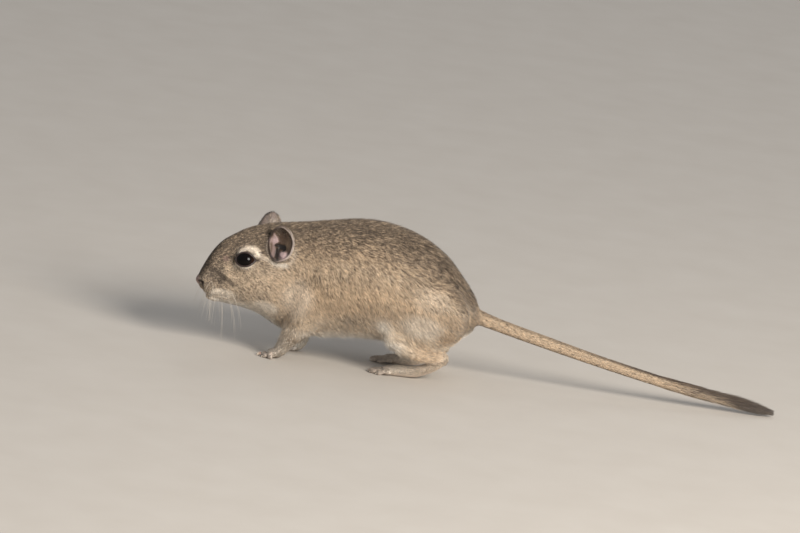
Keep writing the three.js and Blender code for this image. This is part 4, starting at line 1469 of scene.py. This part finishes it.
def make_lids(name, side, material):
    """A thin wet rim round the opening of the eye."""
    rear, up, looks = eye_axes(side)
    turns = np.linspace(0, 2 * math.pi, LID_POINTS, endpoint=False)
    a = LID_REARWARD + LID_HALF_LENGTH * np.cos(turns)
    b = LID_HALF_HEIGHT * np.sin(turns) * np.abs(np.sin(turns)) ** 0.25
    reach = EYE_RADIUS + 0.1
    c = np.sqrt(np.maximum(0.4, reach**2 - a * a - b * b))
    line = rear * a[:, None] + up * b[:, None] + looks * c[:, None]
    out = unit(line)
    along = unit(np.roll(line, -1, 0) - np.roll(line, 1, 0))
    across = unit(np.cross(along, out))
    corner = np.abs(np.cos(turns)) ** 12
    thick = 0.34 + 0.22 * corner
    section = np.linspace(0, 2 * math.pi, LID_SIDES, endpoint=False)
    centre = np.array(EYE) * (side, 1, 1)
    rings = [
        centre + line + (across * np.cos(s) * 1.25 + out * np.sin(s) * 0.9) * thick[:, None]
        for s in section
    ]
    points = np.stack(rings, 1).reshape(-1, 3)
    faces = []
    for k in range(LID_POINTS):
        for s in range(LID_SIDES):
            here, after = k * LID_SIDES, (k + 1) % LID_POINTS * LID_SIDES
            beside = (s + 1) % LID_SIDES
            faces.append((here + s, after + s, after + beside, here + beside))
    wet = np.tile((np.sin(section) < 0).astype(float), LID_POINTS)
    return piece_from(name, points, faces, material, {"wet": wet})


def lid_material():
    made, tree, shader = new_material("eyelid rim")
    hide = tree.blend(tree.mark("wet"), tone(52, 40, 36), tone(30, 22, 20))
    lay_grain(tree, shader, hide, 3000.0, 0.3, relief=(0.2, 0.0001), rough=(0.5, 0.35))
    return made


# Claws and whiskers
CLAW_SIDES = 10
WHISKER_SIDES = 5
WHISKER_RADIUS = 0.036
WHISKER_ROWS = (4, 5, 5, 5)  # from the top down


def tube(line, radii, sides):
    """A round form along a line, pointed at both ends."""
    _, across, up = frames_along(line)
    turn = np.linspace(0, 2 * math.pi, sides, endpoint=False)[:, None]
    rings = []
    for k in range(1, len(line) - 1):
        rings.append(line[k] + (across[k] * np.cos(turn) + up[k] * np.sin(turn)) * radii[k])
    return loft(rings, line[0], line[-1])


def tapered_piece(name, forms, parts, sides, material, turn=True):
    """Claws or whiskers as one piece, marked from root to tip."""
    points, faces = gather(forms)
    along = np.append(np.repeat(parts[1:-1], sides), [0, 1])
    marks = {"root_to_tip": np.tile(along, len(forms))}
    return piece_from(name, points, faces, material, marks, turn=turn)


def make_claws(name, kind, side, material):
    sizes = TOE_SETS[kind]
    parts = np.linspace(0, 1, 10)
    heights = np.maximum(sizes["radius"] * (0.95 + 0.25 * parts - 0.95 * parts * parts), 0.14)
    forms = []
    for at, reach in toe_lines(kind, side):
        line = [at(0.84 + sizes["claw"] * part / reach, up) for part, up in zip(parts, heights)]
        forms.append(tube(np.array(line), 0.46 * (1 - parts) ** 0.6 + 0.05, CLAW_SIDES))
    return tapered_piece(name, forms, parts, CLAW_SIDES, material, turn=False)


def claw_material():
    made, tree, shader = new_material("claw horn")
    rise = tree.between(tree.mark("root_to_tip"), 0.05, 0.9)
    horn = tree.blend(rise, tone(150, 118, 104), tone(226, 212, 192))
    lay_grain(tree, shader, horn, 1500.0, 0.1, rough=(0.4, 0.25))
    return made


def make_whiskers(name, side, material):
    """Rows of whiskers on one pad, hanging in arcs."""
    draw = np.random.default_rng(5 if side > 0 else 6)
    parts = np.linspace(0, 1, 14)
    forms = []
    for row, columns in enumerate(WHISKER_ROWS):
        for column in range(columns):
            out = side * (4.8 + 0.7 * column + 0.25 * row)
            root = np.array([out, 4.6 + 1.75 * column, 29.8 - 1.45 * row - 0.25 * column])
            length = 13 + 1.9 * column + draw.uniform(-4, 3) - 1.0 * row
            lean = -0.1 + 0.15 * column + draw.uniform(-0.5, 0.5)
            rise = 0.05 - 0.3 * row + draw.uniform(-0.2, 0.2)
            way = unit(np.array([side * (0.5 - 0.07 * column), lean, rise]))
            line = root + way * (length * np.sin(parts * 1.5) / 2.2)[:, None]
            line[:, 2] -= length * 0.72 * parts**1.6
            line[:, 2] = np.maximum(line[:, 2], 0.8)
            forms.append(tube(line, WHISKER_RADIUS * (1 - parts) ** 0.7 + 0.01, WHISKER_SIDES))
    return tapered_piece(name, forms, parts, WHISKER_SIDES, material)


def whisker_material():
    made, tree, shader = new_material("whisker")
    rise = tree.between(tree.mark("root_to_tip"), 0.0, 0.35)
    shaft = tree.blend(rise, tone(96, 80, 70), tone(206, 196, 182))
    lay_grain(tree, shader, shaft, 1200.0, 0.1, rough=(0.45, 0.3))
    return made


# Camera at the photograph's angle
CAMERA_UP = math.radians(12)
CAMERA_ROLL = math.radians(8)
CAMERA_AWAY = 2.75
CAMERA_LENS = 300
CAMERA_SENSOR = 36
CAMERA_AIM = (0, 83.2, 43.4)


def place_camera():
    """A long lens at the photograph's height, tilt and framing."""
    back = Vector((math.cos(CAMERA_UP), 0, math.sin(CAMERA_UP)))
    level_right = Vector((0, 1, 0))
    level_up = Vector((-math.sin(CAMERA_UP), 0, math.cos(CAMERA_UP)))
    right = level_right * math.cos(CAMERA_ROLL) + level_up * math.sin(CAMERA_ROLL)
    up = level_up * math.cos(CAMERA_ROLL) - level_right * math.sin(CAMERA_ROLL)
    lens = bpy.data.cameras.new("camera")
    lens.lens = CAMERA_LENS
    lens.sensor_width = CAMERA_SENSOR
    lens.clip_start = 0.01
    camera = bpy.data.objects.new("camera", lens)
    bpy.context.scene.collection.objects.link(camera)
    turn = Matrix((right, up, back)).transposed()
    place = Vector(to_frame(CAMERA_AIM)) + back * CAMERA_AWAY
    camera.matrix_world = Matrix.Translation(place) @ turn.to_4x4()
    bpy.context.scene.camera = camera


# Soft studio light and a plain pale floor
FLOOR_REACH = 20.0
FLOOR_BELOW = 0.00005


def area_light(name, towards, away, size, power, colour, shines=False):
    light = bpy.data.lights.new(name, "AREA")
    light.shape = "DISK"
    light.size = size
    light.energy = power
    light.color = colour
    holder = bpy.data.objects.new(name, light)
    bpy.context.scene.collection.objects.link(holder)
    towards = Vector(towards).normalized()
    holder.location = towards * away + Vector((0, 0, 0.03))
    holder.rotation_euler = towards.to_track_quat("Z", "Y").to_euler()
    holder.visible_camera = False
    holder.visible_glossy = shines


def studio_light():
    world = bpy.data.worlds.new("studio")
    bpy.context.scene.world = world
    world.use_nodes = True
    world.node_tree.nodes["Background"].inputs["Color"].default_value = (0.9, 0.94, 1.0, 1)
    world.node_tree.nodes["Background"].inputs["Strength"].default_value = 0.42
    area_light("key", (0.86, 0.68, 0.6), 1.5, 0.7, 30, (1.0, 0.95, 0.88), shines=True)
    area_light("fill", (0.9, -0.8, 0.3), 1.8, 1.2, 2.5, (0.95, 0.97, 1.0))
    area_light("back", (-0.8, 0.2, 0.7), 1.8, 0.9, 3, (1.0, 0.98, 0.95))
    bpy.context.scene.view_settings.view_transform = "Standard"


def pale_floor():
    mesh = bpy.data.meshes.new("floor")
    corners = [(x * FLOOR_REACH, y * FLOOR_REACH, 0) for x, y in ((-1, -1), (1, -1), (1, 1), (-1, 1))]
    mesh.from_pydata(corners, [], [(0, 1, 2, 3)])
    floor = bpy.data.objects.new("floor", mesh)
    bpy.context.scene.collection.objects.link(floor)
    floor.location.z = -FLOOR_BELOW
    made, tree, shader = new_material("pale floor")
    fleck = tree.add("ShaderNodeTexNoise", {"Vector": tree.place(), "Scale": 40.0, "Detail": 5.0})
    tree.links.new(tree.blend(fleck, tone(188, 180, 170), tone(197, 190, 181)), shader.inputs["Base Color"])
    shader.inputs["Roughness"].default_value = 0.85
    mesh.materials.append(made)


def build():
    place_camera()
    studio_light()
    pale_floor()
    coat, skin_finish = coat_material("agouti coat"), skin_material()
    brush_finish = coat_material("tail brush")

    mesh = bare_form()
    finer_where_worked(mesh)
    points, faces = arrays_of(mesh)
    pairs = edges_of(mesh)
    softer = mix(0.25, 1.0, ramp(points[:, 2], 2.5, 6))  # the toes keep their forms
    points = relax(points, pairs, 6, 0.5 * softer)
    normals = normals_of(points, faces)
    fields = skin_fields(points, normals)
    off_floor = ramp(points[:, 2], 0.5, 2.5)
    points = points - normals * (fields["depth"] * off_floor)[:, None]
    points = relax(points, pairs, 2, 0.4 * softer)
    points = seat_ears(seat_eyes(points))
    points = work_face(points, normals_of(points, faces))
    normals = normals_of(points, faces)

    flesh = [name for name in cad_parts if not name.startswith(("ear_", "eye_"))]
    marks = {key: fields[key] for key in MARKS}
    skin_map = chart_map(faces, fields)
    skin = piece_from("skin", points, faces, skin_finish, marks, skin_map, mesh=mesh)
    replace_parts(skin, *flesh)

    tufts = grow(points, faces, normals, fields)
    parts = {"coat_body": [0], "coat_tail": [1], "coat_legs": list(range(2, len(LIMB_NAMES)))}
    for name, charts in parts.items():
        chosen = np.isin(tufts["chart"], charts)
        coat_pieces(name, {key: value[chosen] for key, value in tufts.items()}, coat)
    coat_pieces("tail_brush", grow_brush(), brush_finish)

    ear_finish, lid_finish, eye_finish = ear_material(), lid_material(), eye_material()
    claw_finish, whisker_finish = claw_material(), whisker_material()
    for name, side in SIDES.items():
        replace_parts(make_ear("ear_cup_" + name, side, ear_finish), "ear_" + name)
        coat_pieces("ear_hair_" + name, grow_ear_hair(side), coat)
        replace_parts(make_eye("eyeball_" + name, side, eye_finish), "eye_" + name)
        make_lids("eyelids_" + name, side, lid_finish)
        make_claws("front_claws_" + name, "forepaw", side, claw_finish)
        make_claws("hind_claws_" + name, "hindfoot", side, claw_finish)
        make_whiskers("whiskers_" + name, side, whisker_finish)


build()
